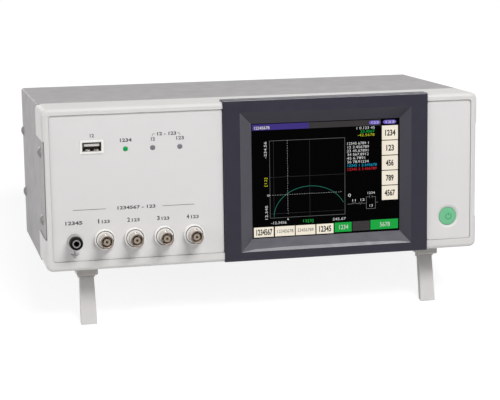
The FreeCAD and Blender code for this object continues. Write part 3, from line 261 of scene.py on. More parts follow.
class Finish:
    """A material under construction: a principled shader and the textures that feed it."""

    def __init__(self, name, colour, roughness, metallic=0.0, specular=0.5):
        self.material = bpy.data.materials.new(name)
        self.material.use_nodes = True
        self.tree = self.material.node_tree
        self.shader = self.tree.nodes["Principled BSDF"]
        self.colour = colour
        self.roughness = roughness
        self.set("Base Color", colour)
        self.set("Roughness", roughness)
        self.set("Metallic", metallic)
        self.set("Specular IOR Level", specular)
        self.coords = self.tree.nodes.new("ShaderNodeTexCoord").outputs["Object"]
        self.paint = None
        self.relief = None

    def set(self, socket, value):
        self.shader.inputs[socket].default_value = value

    def link(self, output, socket):
        self.tree.links.new(output, socket)

    def noise(self, size_mm, detail=3.0, stretch=(1.0, 1.0, 1.0)):
        node = self.tree.nodes.new("ShaderNodeTexNoise")
        node.inputs["Scale"].default_value = 1.0
        node.inputs["Detail"].default_value = detail
        mapping = self.tree.nodes.new("ShaderNodeMapping")
        mapping.inputs["Scale"].default_value = [s / (size_mm * MM) for s in stretch]
        self.link(self.coords, mapping.inputs["Vector"])
        self.link(mapping.outputs[0], node.inputs["Vector"])
        return node.outputs["Fac"]

    def span(self, value, low, high, source_low=0.3, source_high=0.7):
        node = self.tree.nodes.new("ShaderNodeMapRange")
        node.inputs["From Min"].default_value = source_low
        node.inputs["From Max"].default_value = source_high
        node.inputs["To Min"].default_value = low
        node.inputs["To Max"].default_value = high
        self.link(value, node.inputs["Value"])
        return node.outputs[0]

    def shade(self, value, dark, light, low=0.3, high=0.7):
        """Multiplies the colour by dark to light as value goes from low to high."""
        scale = self.span(value, dark, light, low, high)
        node = self.tree.nodes.new("ShaderNodeMix")
        node.data_type = "RGBA"
        node.blend_type = "MULTIPLY"
        node.inputs["Factor"].default_value = 1.0
        if self.paint is None:
            node.inputs["A"].default_value = self.colour
        else:
            self.link(self.paint, node.inputs["A"])
        self.link(scale, node.inputs["B"])
        self.paint = node.outputs["Result"]
        self.link(self.paint, self.shader.inputs["Base Color"])

    def gloss(self, value, spread):
        self.link(
            self.span(value, self.roughness - spread, self.roughness + spread),
            self.shader.inputs["Roughness"],
        )

    def bump(self, value, depth_mm, strength=1.0):
        node = self.tree.nodes.new("ShaderNodeBump")
        node.inputs["Strength"].default_value = strength
        node.inputs["Distance"].default_value = depth_mm * MM
        self.link(value, node.inputs["Height"])
        if self.relief is not None:
            self.link(self.relief, node.inputs["Normal"])
        self.relief = node.outputs[0]
        self.link(self.relief, self.shader.inputs["Normal"])

    def crevice_shade(self, reach_mm, dark, closed=0.0):
        """Paints shade into corners and grooves: the colour darkens where the surface is closed in; closed is how
        open a place may be and still be fully dark."""
        node = self.tree.nodes.new("ShaderNodeAmbientOcclusion")
        node.inputs["Distance"].default_value = reach_mm * MM
        node.samples = 8
        self.shade(node.outputs["AO"], dark, 1.0, closed, 1.0)


def moulded(name, colour, roughness, grain_mm=0.45, depth_mm=0.012, specular=0.45,
            vary=0.015, crevice_shade=0.9, reach=2.5, closed=0.0):
    """Injection-moulded plastic with a fine spark-eroded grain."""
    finish = Finish(name, colour, roughness, specular=specular)
    grain = finish.noise(grain_mm, 4.0)
    finish.shade(finish.noise(38.0, 2.0), 1.0 - vary, 1.0 + vary)
    finish.shade(grain, 1.0 - vary, 1.0 + vary)
    # Painted shade in corners and grooves
    finish.crevice_shade(reach, crevice_shade, closed)
    finish.gloss(finish.noise(6.0, 3.0), 0.05)
    finish.bump(grain, depth_mm, 0.6)
    return finish.material


def painted(name, colour, roughness, vary=0.02):
    """Powder paint on sheet metal: a soft orange peel with fine speckle."""
    finish = Finish(name, colour, roughness, specular=0.15)
    peel = finish.noise(0.9, 3.0)
    finish.shade(finish.noise(55.0, 2.0), 1.0 - vary, 1.0 + vary)
    finish.shade(finish.noise(0.35, 2.0), 1.0 - vary, 1.0 + vary)
    # Painted shade in corners and grooves
    finish.crevice_shade(3.0, 0.88)
    finish.gloss(finish.noise(12.0, 3.0), 0.06)
    finish.bump(peel, 0.02, 0.5)
    return finish.material


def metal(name, colour, roughness, stretch=(1.0, 1.0, 1.0), scratch_mm=0.6, depth_mm=0.002,
          vary=0.05, crevice_shade=0.6, reach=2.0):
    """Plated metal with handling marks; stretch draws the marks out along an axis."""
    finish = Finish(name, colour, roughness, metallic=1.0)
    marks = finish.noise(scratch_mm, 4.0, stretch)
    finish.shade(finish.noise(7.0, 3.0), 1.0 - vary, 1.0 + vary)
    # Painted shade in corners and grooves
    finish.crevice_shade(reach, crevice_shade)
    finish.gloss(marks, 0.07)
    finish.bump(marks, depth_mm, 0.4)
    return finish.material


def lit(name, colour):
    """Something that gives its own light, behind a satin surface."""
    finish = Finish(name, (0.01, 0.01, 0.01, 1.0), 0.25, specular=0.3)
    finish.set("Emission Color", colour)
    glow = finish.span(finish.noise(20.0, 1.0), 0.97, 1.03)
    finish.link(glow, finish.shader.inputs["Emission Strength"])
    finish.bump(finish.noise(0.2, 1.0), 0.001, 0.3)
    return finish.material


def make_finishes():
    made = {
        "pale_plastic": moulded("pale_plastic", linear(217, 215, 213), 0.42, specular=0.25),
        "dark_plastic": moulded("dark_plastic", linear(52, 50, 61), 0.4, 0.4, 0.008,
                                specular=0.32, vary=0.03),
        "label_panel": moulded("label_panel", linear(221, 219, 218), 0.5, 0.3, 0.005,
                               specular=0.2, vary=0.008, crevice_shade=0.86),
        "grey_paint": painted("grey_paint", linear(160, 157, 157), 0.45),
        "plated_sheet": metal("plated_sheet", linear(196, 198, 199), 0.34,
                              (0.15, 1.0, 1.0), 0.8),
        "screw_steel": metal("screw_steel", linear(128, 126, 124), 0.34, crevice_shade=0.3),
        "bright_metal": metal("bright_metal", linear(206, 200, 192), 0.24),
        # Strong painted shade deep inside the port
        "port_metal": metal("port_metal", linear(186, 180, 170), 0.3, crevice_shade=0.12,
                            reach=7.0),
        "collar": moulded("collar", linear(236, 233, 230), 0.35, 0.5, 0.004, crevice_shade=0.35,
                          reach=1.6),
        "jack_metal": metal("jack_metal", linear(226, 219, 213), 0.27, scratch_mm=0.25,
                            depth_mm=0.0006, vary=0.03, crevice_shade=0.8),
        "bore_metal": moulded("bore_metal", linear(240, 226, 212), 0.5, specular=0.4),
        "rim_metal": moulded("rim_metal", linear(128, 116, 106), 0.5, specular=0.4),
        # A lighter, glossier copy of the dark plastic, for painted sheen on the frame's sides that face the light
        "slope_sheen_plastic": moulded("slope_sheen_plastic", linear(54, 52, 63), 0.33, 0.4, 0.008,
                                 specular=0.75, vary=0.03),
        "sleeve_metal": metal("sleeve_metal", linear(178, 176, 175), 0.5, crevice_shade=0.6),
        "jack_black": moulded("jack_black", linear(13, 12, 13), 0.5, 0.4, 0.006,
                              specular=0.12, vary=0.06),
        "satin_metal": metal("satin_metal", linear(186, 184, 181), 0.36),
        "contact_metal": metal("contact_metal", linear(176, 146, 100), 0.34),
        "white_plastic": moulded("white_plastic", linear(242, 241, 238), 0.36, 0.5, 0.006,
                                 vary=0.01),
        "black_plastic": moulded("black_plastic", linear(20, 19, 20), 0.42, 0.4, 0.008,
                                 specular=0.25, vary=0.06),
        "rocker_plastic": moulded("rocker_plastic", linear(26, 26, 28), 0.22, 1.2, 0.004,
                                  vary=0.05),
        "cream_plastic": moulded("cream_plastic", linear(158, 147, 135), 0.5, 0.5, 0.01,
                                 vary=0.03),
        "foot_plastic": moulded("foot_plastic", linear(186, 182, 178), 0.45, 0.5, 0.012,
                                specular=0.25, vary=0.02),
        # Painted shadow of the case on the legs: darker towards their tops, where the case closes them in
        "leg_paint": moulded("leg_paint", linear(238, 235, 233), 0.42, 0.45, 0.01,
                             specular=0.25, vary=0.02, crevice_shade=0.25, reach=45.0,
                             closed=0.2),
        "foot_rubber": moulded("foot_rubber", linear(52, 52, 54), 0.75, 0.7, 0.03,
                               vary=0.08, specular=0.3),
        "circuit_board": moulded("circuit_board", linear(22, 92, 52), 0.3, 1.5, 0.02,
                                 vary=0.12),
        "grey_lamp": moulded("grey_lamp", linear(122, 120, 128), 0.3, 0.3, 0.002, vary=0.03,
                             crevice_shade=0.8),
        "display_cell": moulded("display_cell", linear(12, 12, 14), 0.3, 0.3, 0.004,
                                vary=0.05),
        "ink": moulded("ink", linear(72, 70, 74), 0.55, 0.25, 0.004, vary=0.06),
        "mark_white": moulded("mark_white", linear(232, 232, 230), 0.45, 0.3, 0.004),
        "port_tongue": moulded("port_tongue", linear(214, 210, 205), 0.45, 0.5, 0.006,
                               crevice_shade=0.5, reach=4.0),
    }
    lamp = Finish("green_lamp", linear(0, 150, 70), 0.25)
    lamp.shade(lamp.noise(1.2, 2.0), 0.92, 1.08)
    lamp.set("Emission Color", linear(0, 165, 80))
    lamp.set("Emission Strength", 0.12)
    lamp.bump(lamp.noise(0.4), 0.002, 0.4)
    made["green_lamp"] = lamp.material
    button = Finish("green_button", linear(118, 196, 149), 0.34)
    button.shade(button.noise(5.0, 2.0), 0.97, 1.03)
    # Painted shade round the button's edge
    button.crevice_shade(1.5, 0.8)
    button.set("Subsurface Weight", 0.2)
    button.set("Subsurface Radius", (0.001, 0.002, 0.001))
    button.bump(button.noise(0.4, 3.0), 0.006, 0.5)
    made["green_button"] = button.material
    symbol = Finish("button_symbol", linear(52, 150, 92), 0.4)
    symbol.shade(symbol.noise(0.6, 2.0), 0.95, 1.05)
    symbol.bump(symbol.noise(0.3), 0.003, 0.4)
    made["button_symbol"] = symbol.material
    glass = Finish("screen_glass", (0.0015, 0.0015, 0.0018, 1.0), 0.16, specular=0.06)
    glass.gloss(glass.noise(14.0, 3.0), 0.03)
    glass.bump(glass.noise(0.3, 2.0), 0.0006, 0.3)
    made["screen_glass"] = glass.material
    screen = {
        "screen_purple": (56, 42, 122), "screen_grey": (51, 47, 48),
        "screen_cream": (238, 229, 212), "screen_green": (0, 160, 58),
        "screen_white": (205, 205, 205), "screen_teal": (24, 116, 92),
        "screen_cyan": (0, 150, 190), "screen_red": (190, 25, 30),
        "screen_yellow": (180, 180, 20), "screen_line": (104, 104, 104),
        "screen_dim": (34, 34, 36), "screen_black": (22, 20, 20),
        "screen_violet": (110, 92, 190),
    }
    for name, colour in screen.items():
        made[name] = lit(name, linear(*colour))
    return made


# Mesh building

class Shape:
    """Gathers faces in the case's own millimetres and turns them into one piece."""

    def __init__(self):
        self.points = []
        self.faces = []
        self.marks = []

    def add(self, points, faces, mark=0):
        first = len(self.points)
        self.points += [tuple(point) for point in points]
        self.faces += [tuple(first + i for i in face) for face in faces]
        self.marks += [mark] * len(faces)

    def prism(self, near, far, mark):
        """Solid between two outlines of as many points."""
        count = len(near)
        faces = [tuple(range(count)), tuple(range(2 * count - 1, count - 1, -1))]
        for i in range(count):
            after = (i + 1) % count
            faces.append((i, i + count, after + count, after))
        self.add(near + far, faces, mark)

    def plate(self, outline, y0, y1, mark=0):
        """Outline of (x, z) points, solid from y0 to y1."""
        self.prism([(x, y0, z) for x, z in outline], [(x, y1, z) for x, z in outline], mark)

    def rail(self, outline, x0, x1, mark=0):
        """Outline of (y, z) points, solid from x0 to x1."""
        self.prism([(x0, y, z) for y, z in outline], [(x1, y, z) for y, z in outline], mark)

    def block(self, x0, x1, z0, z1, y0, y1, mark=0):
        self.plate([(x0, z0), (x1, z0), (x1, z1), (x0, z1)], y0, y1, mark)

    def line(self, points, width, y0, y1, mark=0):
        """A stroke of one width through (x, z) points, mitred at its turns."""
        sides = ([], [])
        for i, point in enumerate(points):
            here = Vector(point)
            before = here - Vector(points[i - 1]) if i else None
            after = Vector(points[i + 1]) - here if i + 1 < len(points) else None
            along = [d.normalized() for d in (before, after) if d is not None]
            middle = sum(along, Vector((0, 0))).normalized()
            across = Vector((-middle.y, middle.x))
            normal = Vector((-along[0].y, along[0].x))
            reach = width / 2 / max(0.4, across.dot(normal))
            sides[0].append(tuple(here + across * reach))
            sides[1].append(tuple(here - across * reach))
        for i in range(len(points) - 1):
            quad = [sides[1][i], sides[1][i + 1], sides[0][i + 1], sides[0][i]]
            self.plate(quad, y0, y1, mark)

    def ring(self, x, z, inner, outer, y0, y1, start=0.0, sweep=360.0, steps=40):
        """Flat arc between two radii; angles run anticlockwise from +X."""
        def circle(radius):
            return [
                (x + radius * math.cos(math.radians(start + sweep * i / steps)),
                 z + radius * math.sin(math.radians(start + sweep * i / steps)))
                for i in range(steps + 1)
            ]
        inside, outside = circle(inner), circle(outer)
        for i in range(steps):
            quad = [outside[i], outside[i + 1], inside[i + 1], inside[i]]
            self.plate(quad, y0, y1)

    def turned(self, profile, centre, along, steps):
        """Revolves (radius, distance) points about a line through centre."""
        along = Vector(along).normalized()
        side = along.orthogonal().normalized()
        other = along.cross(side)
        points, rows = [], []
        for radius, distance in profile:
            middle = Vector(centre) + along * distance
            if radius < 1e-6:
                rows.append([len(points)] * steps)
                points.append(middle)
                continue
            rows.append(list(range(len(points), len(points) + steps)))
            for i in range(steps):
                angle = 2 * math.pi * i / steps
                points.append(
                    middle + (side * math.cos(angle) + other * math.sin(angle)) * radius
                )
        faces = []
        for upper, lower in zip(rows, rows[1:]):
            for i in range(steps):
                after = (i + 1) % steps
                corners = [upper[i], upper[after], lower[after], lower[i]]
                unique = list(dict.fromkeys(corners))
                if len(unique) > 2:
                    faces.append(unique)
        self.add(points, faces)

    def words(self, text, x, z, height, width, y, thick, mark=0, turn=0.0, weight=0.0):
        """Plain figures of one height and width, centred on (x, z), as thin raised ink on
        the plane y."""
        points, faces = figures(text, weight)
        size = height / DIGIT_HEIGHT
        across = [px for px, py, pz in points]
        narrow = width / (max(across) - min(across)) / size
        cos, sin = math.cos(math.radians(turn)), math.sin(math.radians(turn))
        placed = []
        for px, py, pz in points:
            u, v = px * size * narrow, (py - DIGIT_HEIGHT / 2) * size
            a, b = u * cos - v * sin, u * sin + v * cos
            placed.append((x + a, y - (pz > 0) * thick, z + b))
        self.add(placed, faces, mark)

    def mesh(self, name, finishes):
        mesh = bpy.data.meshes.new(name)
        mesh.from_pydata(self.points, [], self.faces)
        for finish in finishes:
            mesh.materials.append(FINISHES[finish])
        mesh.polygons.foreach_set("material_index", self.marks)
        mesh.transform(TO_ROW)
        turn_faces_out(mesh)
        return mesh

    def piece(self, name, finishes, body="case", slot=None, stands_for=(), smooth=None,
              bevel_mm=0.0):
        mesh = self.mesh(name, finishes)
        made = bpy.data.objects.new(name, mesh)
        bpy.context.scene.collection.objects.link(made)
        if smooth is not None:
            mesh.polygons.foreach_set("use_smooth", [True] * len(mesh.polygons))
            mesh.set_sharp_from_angle(angle=math.radians(smooth))
        if bevel_mm:
            round_edges(made, bevel_mm)
        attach(made, body)
        if stands_for:
            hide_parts(*stands_for)
        return made


def turn_faces_out(mesh):
    work = bmesh.new()
    work.from_mesh(mesh)
    bmesh.ops.recalc_face_normals(work, faces=work.faces)
    work.to_mesh(mesh)
    work.free()


DIGIT_HEIGHT = 0.7
written = {}


def figures(text, weight):
    """Faces of a line of figures, one unit of type high, centred sideways."""
    key = (text, weight)
    if key not in written:
        curve = bpy.data.curves.new("figures", "FONT")
        curve.body = text
        curve.align_x = "CENTER"
        curve.extrude = 0.05
        curve.offset = weight
        curve.resolution_u = 3
        holder = bpy.data.objects.new("figures", curve)
        bpy.context.scene.collection.objects.link(holder)
        bpy.context.view_layer.update()
        seen = holder.evaluated_get(bpy.context.evaluated_depsgraph_get())
        mesh = seen.to_mesh()
        points = [tuple(v.co) for v in mesh.vertices]
        faces = [tuple(p.vertices) for p in mesh.polygons]
        seen.to_mesh_clear()
        bpy.data.objects.remove(holder)
        bpy.data.curves.remove(curve)
        written[key] = (points, faces)
    return written[key]


def round_edges(made, width_mm):
    bevel = made.modifiers.new("round", "BEVEL")
    bevel.width = width_mm * MM
    bevel.segments = 2
    bevel.limit_method = "ANGLE"
    bevel.angle_limit = math.radians(32.0)
    bevel.use_clamp_overlap = True
    bevel.miter_outer = "MITER_ARC"
    even = made.modifiers.new("even", "WEIGHTED_NORMAL")
    even.keep_sharp = True
    made.data.polygons.foreach_set("use_smooth", [True] * len(made.data.polygons))


def dress(node, finish, bevel_mm):
    """Gives a CAD node its finish, and the small edge radius that it has in reality."""
    made = NODES[node]
    mesh = made.data
    mesh.materials.clear()
    mesh.materials.append(FINISHES[finish])
    if node in FACE_FINISHES:
        FACE_FINISHES[node](mesh)
    for layer in ("custom_normal", "sharp_edge", "sharp_face"):
        if layer in mesh.attributes:
            mesh.attributes.remove(mesh.attributes[layer])
    mesh.polygons.foreach_set("use_smooth", [True] * len(mesh.polygons))
    weld = made.modifiers.new("weld", "WELD")
    weld.merge_threshold = 1e-6
    if bevel_mm:
        # The display frame's front would become one face round a window, with a seam
        if node != "display_bezel":
            flat = made.modifiers.new("flat", "DECIMATE")
            flat.decimate_type = "DISSOLVE"
            flat.angle_limit = math.radians(0.4)
        round_edges(made, bevel_mm)
    else:
        split = made.modifiers.new("split", "EDGE_SPLIT")
        split.split_angle = math.radians(30.0)


def second_finish(mesh, finish, chosen):
    """Gives another finish to the faces whose middle and direction, in the case's frame,
    are chosen."""
    mesh.materials.append(FINISHES[finish])
    index = len(mesh.materials) - 1
    to_case = TO_ROW.inverted()
    turn = to_case.to_3x3().normalized()
    for face in mesh.polygons:
        if chosen(to_case @ face.center, turn @ face.normal):
            face.material_index = index


def finish_jack(mesh, x):
    """A coaxial jack has a pale collar, and its bore is duller than its barrel."""
    def out(place):
        return math.hypot(place.x - x, place.z - JACK_HEIGHT)

    mesh.materials[0] = FINISHES["jack_metal"]
    second_finish(mesh, "collar", lambda place, way: out(place) > BARREL_RADIUS + 0.15
                  and COLLAR_FRONT - 0.1 < place.y < PANEL_FRONT)
    second_finish(mesh, "rim_metal", lambda place, way: way.y < -0.9
                  and place.y < JACK_MOUTH + 0.2)
    second_finish(mesh, "bore_metal", lambda place, way: out(place) < BORE_RADIUS + 0.05
                  and way.y > -0.9)


def paint_slope_sheen(mesh):
    """Gives the display frame's faces that turn to the right, and near its front those that turn up, a glossier
    and slightly lighter copy of its plastic: a painted sheen where those sides catch the light.
    """
    second_finish(mesh, "slope_sheen_plastic", lambda place, way: max(map(abs, way)) < 0.995
                  and place.y > FRAME_FRONT + 0.02
                  and (way.x > 0.1 or way.z > 0.1 and place.y < FRAME_FRONT + 1.1))


def paint_sleeve_shade(mesh):
    """Paints the inside of the guard jack's contact sleeve black, as painted shade in its bore."""
    second_finish(mesh, "jack_black", lambda place, way: math.hypot(
        place.x - GUARD_X, place.z - JACK_HEIGHT) < GUARD_BORE_RADIUS)


FACE_FINISHES = {"display_bezel": paint_slope_sheen, "guard_jack_sleeve": paint_sleeve_shade}
for index, x in enumerate(BNC_XS, start=1):
    FACE_FINISHES["bnc_shell_%d" % index] = lambda mesh, x=x: finish_jack(mesh, x)


# Pieces that only show here

def panel_print():
    """Figures and lines printed on the left panel."""
    ink = Shape()
    front, back = PANEL_FRONT - 0.03, PANEL_FRONT + 0.02

    def figure(text, x, z, width, height=2.5, weight=0.03):
        ink.words(text, x, z, height, width, back, back - front, weight=weight)

    figure("12345", GUARD_X - 0.4, 35.4, 12.4)
    for i, x in enumerate(BNC_XS, start=1):
        figure("%d" % i, x - 4.0, 35.8, 0.9 if i == 1 else 1.9, 3.0, 0.035)
        figure("123", x + 0.9, 35.4, 5.8, 2.2)
    for text, x, width in zip(("1234", "12", "123"), LAMP_XS, (8.6, 2.9, 5.6)):
        figure(text, x, 94.3, width, 2.4)
    figure("12 - 123", -74.8, 97.9, 14.0, 2.3)
    figure("1234567 - 123", -98.4, 44.9, 28.0, 2.3)
    figure("12", USB_AT[0], 98.6, 3.0, 2.4)
    for x0, x1 in ((-144.6, -120.6), (-78.8, -55.1)):
        ink.block(x0, x1, 44.55, 44.9, front, back)
    for side, x in ((1, -85.4), (-1, -64.6)):
        ink.line([(x, 96.4), (x + side * 0.8, 98.0), (x + side * 2.2, 98.0)], 0.3,
                 front, back)
    ink.block(GUARD_X - 0.22, GUARD_X + 0.22, 12.6, 15.0, front, back)
    for reach, z in ((3.2, 12.5), (2.1, 11.4), (1.0, 10.3)):
        ink.block(GUARD_X - reach, GUARD_X + reach, z - 0.22, z + 0.22, front, back)
    ink.piece("panel_print", ["ink"])


def jack_lips():
    """A raised lip round each coaxial jack's bush, and the dark seal inside it."""
    lips, seals = Shape(), Shape()
    inner, outer, proud, foot = 6.62, 7.5, 2.0, -0.05
    lip = [(inner, foot), (outer, foot), (outer, proud - 0.3), (outer - 0.12, proud - 0.08),
           (outer - 0.35, proud), (inner + 0.25, proud), (inner + 0.06, proud - 0.08),
           (inner, proud - 0.3), (inner, foot)]
    near, far = COLLAR_RADIUS + 0.04, inner - 0.02
    seal = [(near, foot), (far, foot), (far, 0.1), (near + 0.24, 0.2), (near, 0.1),
            (near, foot)]
    for x in BNC_XS:
        place = (x, BUSH_FRONT, JACK_HEIGHT)
        lips.turned(lip, place, (0, -1, 0), 64)
        seals.turned(seal, place, (0, -1, 0), 64)
    lips.piece("jack_lips", ["white_plastic"], slot="white_plastic", smooth=40.0)
    seals.piece("jack_seals", ["black_plastic"], slot="black_plastic", smooth=40.0)


def button_symbol():
    """Standby sign on the power button, just proud of its domed face."""
    x, z = BUTTON_AT
    front, back = BUTTON_FRONT + 0.005, BUTTON_FRONT + 0.12
    sign = Shape()
    sign.ring(x + 0.5, z - 0.1, 1.95, 2.45, front, back, 110.0, 320.0, 36)
    sign.block(x + 0.26, x + 0.74, z + 0.5, z + 2.9, front, back)
    sign.piece("button_symbol", ["button_symbol"], body="power_button", slot="green_button")


def screen_picture():
    """What the lit screen shows: keys, a plot with its arc, and plain figures."""
    marks = ["screen_purple", "screen_grey", "screen_cream", "screen_green", "screen_white",
             "screen_teal", "screen_cyan", "screen_red", "screen_yellow", "screen_line",
             "screen_dim", "screen_black", "screen_violet"]
    index = {name.removeprefix("screen_"): i for i, name in enumerate(marks)}
    border = 0.6
    dots_across = 640
    step = (SCREEN_RIGHT - SCREEN_LEFT - 2 * border) / dots_across
    left = SCREEN_LEFT + border
    top = SCREEN_HIGH - border
    back = SCREEN_FRONT - 0.005
    base, middle = back - 0.015, back - 0.03
    raised = 0.03
    picture = Shape()

    def place(u, v):
        return left + u * step, top - v * step

    def area(u0, u1, v0, v1, mark, front=base):
        x0, z1 = place(u0, v0)
        x1, z0 = place(u1, v1)
        picture.block(x0, x1, z0, z1, front, back, index[mark])

    def stroke(points, mark, width=1.5, front=middle):
        picture.line([place(u, v) for u, v in points], width * step, front, back,
                     index[mark])

    def dashes(start, end, mark):
        dash, gap = 4.0, 6.6
        whole = math.dist(start, end)
        count = int(whole // (dash + gap))
        for i in range(count):
            a = i * (dash + gap) / whole
            b = (i * (dash + gap) + dash) / whole
            stroke([tuple(s + (e - s) * t for s, e in zip(start, end)) for t in (a, b)],
                   mark, 1.1)

    def write(text, u0, u1, v, height, mark, weight=0.0):
        """Figures of one height that run from u0 to u1."""
        x, z = place((u0 + u1) / 2, v)
        picture.words(text, x, z, height * step, (u1 - u0) * step, base, raised,
                      index[mark], weight=weight)

    def write_up(text, u, v0, v1, height, mark):
        """Figures that run upward from v1 to v0."""
        x, z = place(u, (v0 + v1) / 2)
        picture.words(text, x, z, height * step, (v1 - v0) * step, base, raised,
                      index[mark], turn=90.0)

    area(0, 245, 0, 25, "purple")
    area(245, 560, 0, 25, "grey")
    for u0, u1 in ((508, 558), (570, 628)):
        rounding = [(u0 + 8, 4), (u1 - 8, 4), (u1, 9), (u1, 15), (u1 - 8, 20), (u0 + 8, 20),
                    (u0, 15), (u0, 9)]
        picture.plate([place(u, v) for u, v in reversed(rounding)], middle, back,
                      index["violet"])
        write("123", u0 + 10, u1 - 10, 12, 9, "white")
    write("12345678", 8, 74, 15, 12, "white", 0.02)
    for i, text in enumerate(("1234", "123", "456", "789", "4567")):
        v = 27 + 64.5 * i
        area(565, 636, v, v + 61, "cream")
        half = 23 if len(text) == 4 else 17
        write(text, 600 - half, 600 + half, v + 31, 24, "black", 0.03)
    # text, the key's two sides, the text's two sides, height, weight
    for text, u0, u1, u2, u3, height, weight in (
            ("1234567", 3, 88, 11, 80, 24, 0.03), ("12345678", 94, 180, 102, 172, 14, 0.0),
            ("23456789", 184, 270, 192, 262, 14, 0.0), ("12345", 275, 350, 285, 338, 24, 0.03)):
        area(u0, u1, 435, 477, "cream")
        write(text, u2, u3, 456, height, "black", weight)
    area(355, 430, 433, 474, "green")
    write("1234", 373, 413, 453, 19, "white")
    area(434, 511, 432, 473, "grey")
    area(514, 637, 430, 472, "green")
    write("5678", 556, 600, 451, 19, "white")

    # The plot, with its grid, its cursors and its arc
    left_edge, right_edge, upper, lower = 74, 401, 71, 398
    for u in (91, 247):
        stroke([(u, upper), (u, lower)], "dim", 1.4, base)
    for v in (225, 380):
        stroke([(left_edge, v), (right_edge, v)], "dim", 1.4, base)
    frame_line = [(left_edge, upper), (right_edge, upper), (right_edge, lower),
                  (left_edge, lower), (left_edge, upper)]
    for start, end in zip(frame_line, frame_line[1:]):
        stroke([start, end], "line", 1.3)
    dashes((151, upper), (151, lower), "white")
    dashes((left_edge, 301), (right_edge, 301), "white")
    arc = []
    for i in range(41):
        angle = math.radians(180 - 158 * i / 40)
        arc.append((248 + 157 * math.cos(angle), 393 - 124 * math.sin(angle)))
    stroke(arc, "teal", 1.7)
    picture.plate([place(u, v) for u, v in ((147, 409), (155, 409), (151, 401))], middle,
                  back, index["white"])

    # text, its left and right end, its middle height, its size, its colour
    for row in (
        ("1 0.123 45", 452, 532, 33, 11, "white"), ("23.4567", 470, 532, 48, 11, "green"),
        ("-42.5678", 458, 532, 63, 11, "yellow"),
        ("12345 6789 1", 412, 506, 97, 11, "white"),
        ("12 3.456789", 412, 506, 112.7, 11, "white"),
        ("23 45.67891", 412, 506, 128.4, 11, "white"),
        ("34 567.8912", 412, 506, 144.1, 11, "white"),
        ("45 6.7891", 412, 492, 159.8, 11, "white"),
        ("56 78.91234", 412, 506, 175.5, 11, "white"),
        ("12345 1 2.345678", 412, 540, 191, 11, "cyan"),
        ("12345 2 3.456789", 412, 540, 207, 11, "red"),
        ("-12.3456", 78, 144, 419, 11, "white"), ("12[3]", 216, 260, 417, 11, "green"),
        ("245.67", 346, 404, 417, 11, "white"), ("0", 415, 427, 318, 14, "white"),
        ("11", 434, 448, 341, 10, "white"), ("12", 468, 486, 340, 10, "white"),
        ("1234", 500, 532, 312, 10, "white"), ("13", 509, 523, 367, 10, "white"),
    ):
        write(*row)
    # text, its middle across, its upper and lower end, its size, its colour
    for row in (
        ("-234.56", 56, 74, 143, 11, "white"), ("[12]", 56, 226, 262, 11, "yellow"),
        ("0", 67, 297, 305, 11, "white"), ("12.345", 58, 346, 404, 11, "white"),
    ):
        write_up(*row)
    # A small circuit: resistor, coil and a capacitor beside a link
    stroke([(412, 356), (432, 356), (436, 350), (441, 356), (446, 350), (451, 356),
            (461, 356), (464, 351), (469, 360), (474, 351), (478, 356), (496, 356)],
           "line", 1.6)
    stroke([(496, 380), (496, 329), (510, 329)], "line", 1.6)
    stroke([(521, 329), (536, 329), (536, 380), (496, 380)], "line", 1.6)
    for u in (510, 521):
        stroke([(u, 323), (u, 335)], "line", 1.6)
    stroke([(536, 354), (548, 354)], "line", 1.6)
    picture.piece("screen_picture", marks)


def usb_contacts():
    """Four contact strips under the port's tongue and two springs on its floor."""
    x, z = USB_AT
    strips = Shape()
    top = z + USB_HALF_HEIGHT - USB_WALL - USB_TONGUE_DROP - USB_TONGUE_THICKNESS
    for i in range(4):
        middle = x + (i - 1.5) * 2.4
        strips.block(middle - 0.55, middle + 0.55, top - 0.08, top + 0.02, 2.3, 8.0)
    strips.piece("usb_contacts", ["contact_metal"], slot="contact_metal", bevel_mm=0.02)
    springs = Shape()
    floor = z - USB_HALF_HEIGHT + USB_WALL
    leaf = [(1.6, 0.02), (2.6, 0.95), (4.2, 1.25), (7.5, 0.3), (10.0, 0.02)]
    outline = [(y, floor + h) for y, h in leaf]
    thick, half = 0.22, 1.9
    outline += [(y, floor + h + thick) for y, h in reversed(leaf)]
    for middle in (x - 3.1, x + 3.3):
        springs.rail(outline, middle - half, middle + half)
    springs.piece("usb_springs", ["bright_metal"], slot="bright_metal", bevel_mm=0.05)


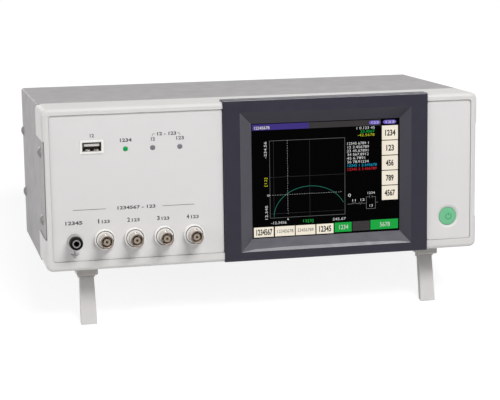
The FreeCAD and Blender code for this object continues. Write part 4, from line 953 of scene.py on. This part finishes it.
def screw_heads():
    """Truss-head screws with a cross recess, for the sides and the rear."""
    radius, height, shank = 4.5, 2.1, 2.0
    ball = (radius ** 2 + height ** 2) / (2 * height)
    widest = math.asin(radius / ball)
    profile = [(0.0, height)]
    for i in range(1, 13):
        angle = widest * i / 12
        profile.append((ball * math.sin(angle), height - ball * (1 - math.cos(angle))))
    profile += [(radius, -0.02), (shank, -0.02), (shank, -3.0), (0.0, -3.0)]
    head = Shape()
    head.turned(profile, (0, 0, 0), (0, 0, 1), 40)
    cross = Shape()
    long, wide, deep = 2.35, 0.42, 1.5
    for turn in (0, 90):
        cos, sin = math.cos(math.radians(turn)), math.sin(math.radians(turn))
        corners = []
        for z, reach, half in ((height + 0.5, long, wide), (height - deep, 0.55, 0.3)):
            for a, b in ((-reach, -half), (reach, -half), (reach, half), (-reach, half)):
                corners.append((a * cos - b * sin, a * sin + b * cos, z))
        cross.add(corners, [(3, 2, 1, 0), (4, 5, 6, 7), (0, 1, 5, 4), (1, 2, 6, 5),
                            (2, 3, 7, 6), (3, 0, 4, 7)])
    objects = []
    for name, shape in (("screw_blank", head), ("screw_cross", cross)):
        mesh = bpy.data.meshes.new(name)
        mesh.from_pydata(shape.points, [], shape.faces)
        turn_faces_out(mesh)
        made = bpy.data.objects.new(name, mesh)
        bpy.context.scene.collection.objects.link(made)
        objects.append(made)
    blank, cutter = objects
    cut = blank.modifiers.new("recess", "BOOLEAN")
    cut.object = cutter
    cut.solver = "EXACT"
    cut.use_self = True
    bpy.context.view_layer.update()
    seen = blank.evaluated_get(bpy.context.evaluated_depsgraph_get())
    mesh = seen.to_mesh()
    points = [v.co.copy() for v in mesh.vertices]
    faces = [tuple(p.vertices) for p in mesh.polygons]
    seen.to_mesh_clear()
    for made in objects:
        bpy.data.objects.remove(made)

    def screws(name, seats, stands_for):
        shape = Shape()
        for i, (seat, outward) in enumerate(seats):
            turn = Vector((0, 0, 1)).rotation_difference(Vector(outward)).to_matrix()
            spin = Matrix.Rotation(math.radians(17.0 + 37.0 * i), 3, "Z")
            shape.add([turn @ spin @ p + Vector(seat) for p in points], faces)
        shape.piece(name, ["screw_steel"], slot="screw_steel", stands_for=stands_for,
                    smooth=35.0)

    sides = [((side * COVER_SIDE, y, z), (side, 0, 0))
             for side in (-1, 1) for y, z in SIDE_SCREWS]
    screws("side_screw_heads", sides, ["side_screws"])
    rear = [((x, OPTION_PLATE_FACE, z), (0, 1, 0)) for x, z in REAR_SCREWS]
    screws("rear_screw_heads", rear, ["rear_screws"])


def rocker_marks():
    """The bar and ring of a mains switch, moulded into the two halves of the rocker."""
    marks = Shape()
    half, line, sunk, proud = 1.9, 0.5, -0.02, 0.07
    for low, high in zip(ROCKER_EDGE, ROCKER_EDGE[1:]):
        flat = Shape()
        if low is ROCKER_EDGE[0]:
            flat.ring(0, 0, half - line, half, sunk, proud)
        else:
            flat.block(-line / 2, line / 2, -half, half, sunk, proud)
        along = (Vector(high) - Vector(low)).normalized()
        outward = Vector((0, along.z, -along.y))
        middle = (Vector(low) + Vector(high)) / 2
        marks.add(
            [middle + Vector((a, 0, 0)) + outward * c + along * b for a, c, b in flat.points],
            flat.faces,
        )
    marks.piece("rocker_marks", ["mark_white"], body="main_rocker")


FINISHES = make_finishes()
make_camera()
make_world()
make_floor()
make_dark_card()
for lamp in LAMPS:
    make_light(*lamp)
bpy.context.scene.view_settings.view_transform = "Standard"

slot_of = {row["node"]: row["material_slot"] for row in frame["record"]["subparts"]}
for node in NODES:
    dress(node, OTHER_FINISH.get(node, slot_of[node]), EDGE_RADIUS.get(node, 0.0))

panel_print()
jack_lips()
button_symbol()
screen_picture()
usb_contacts()
screw_heads()
rocker_marks()
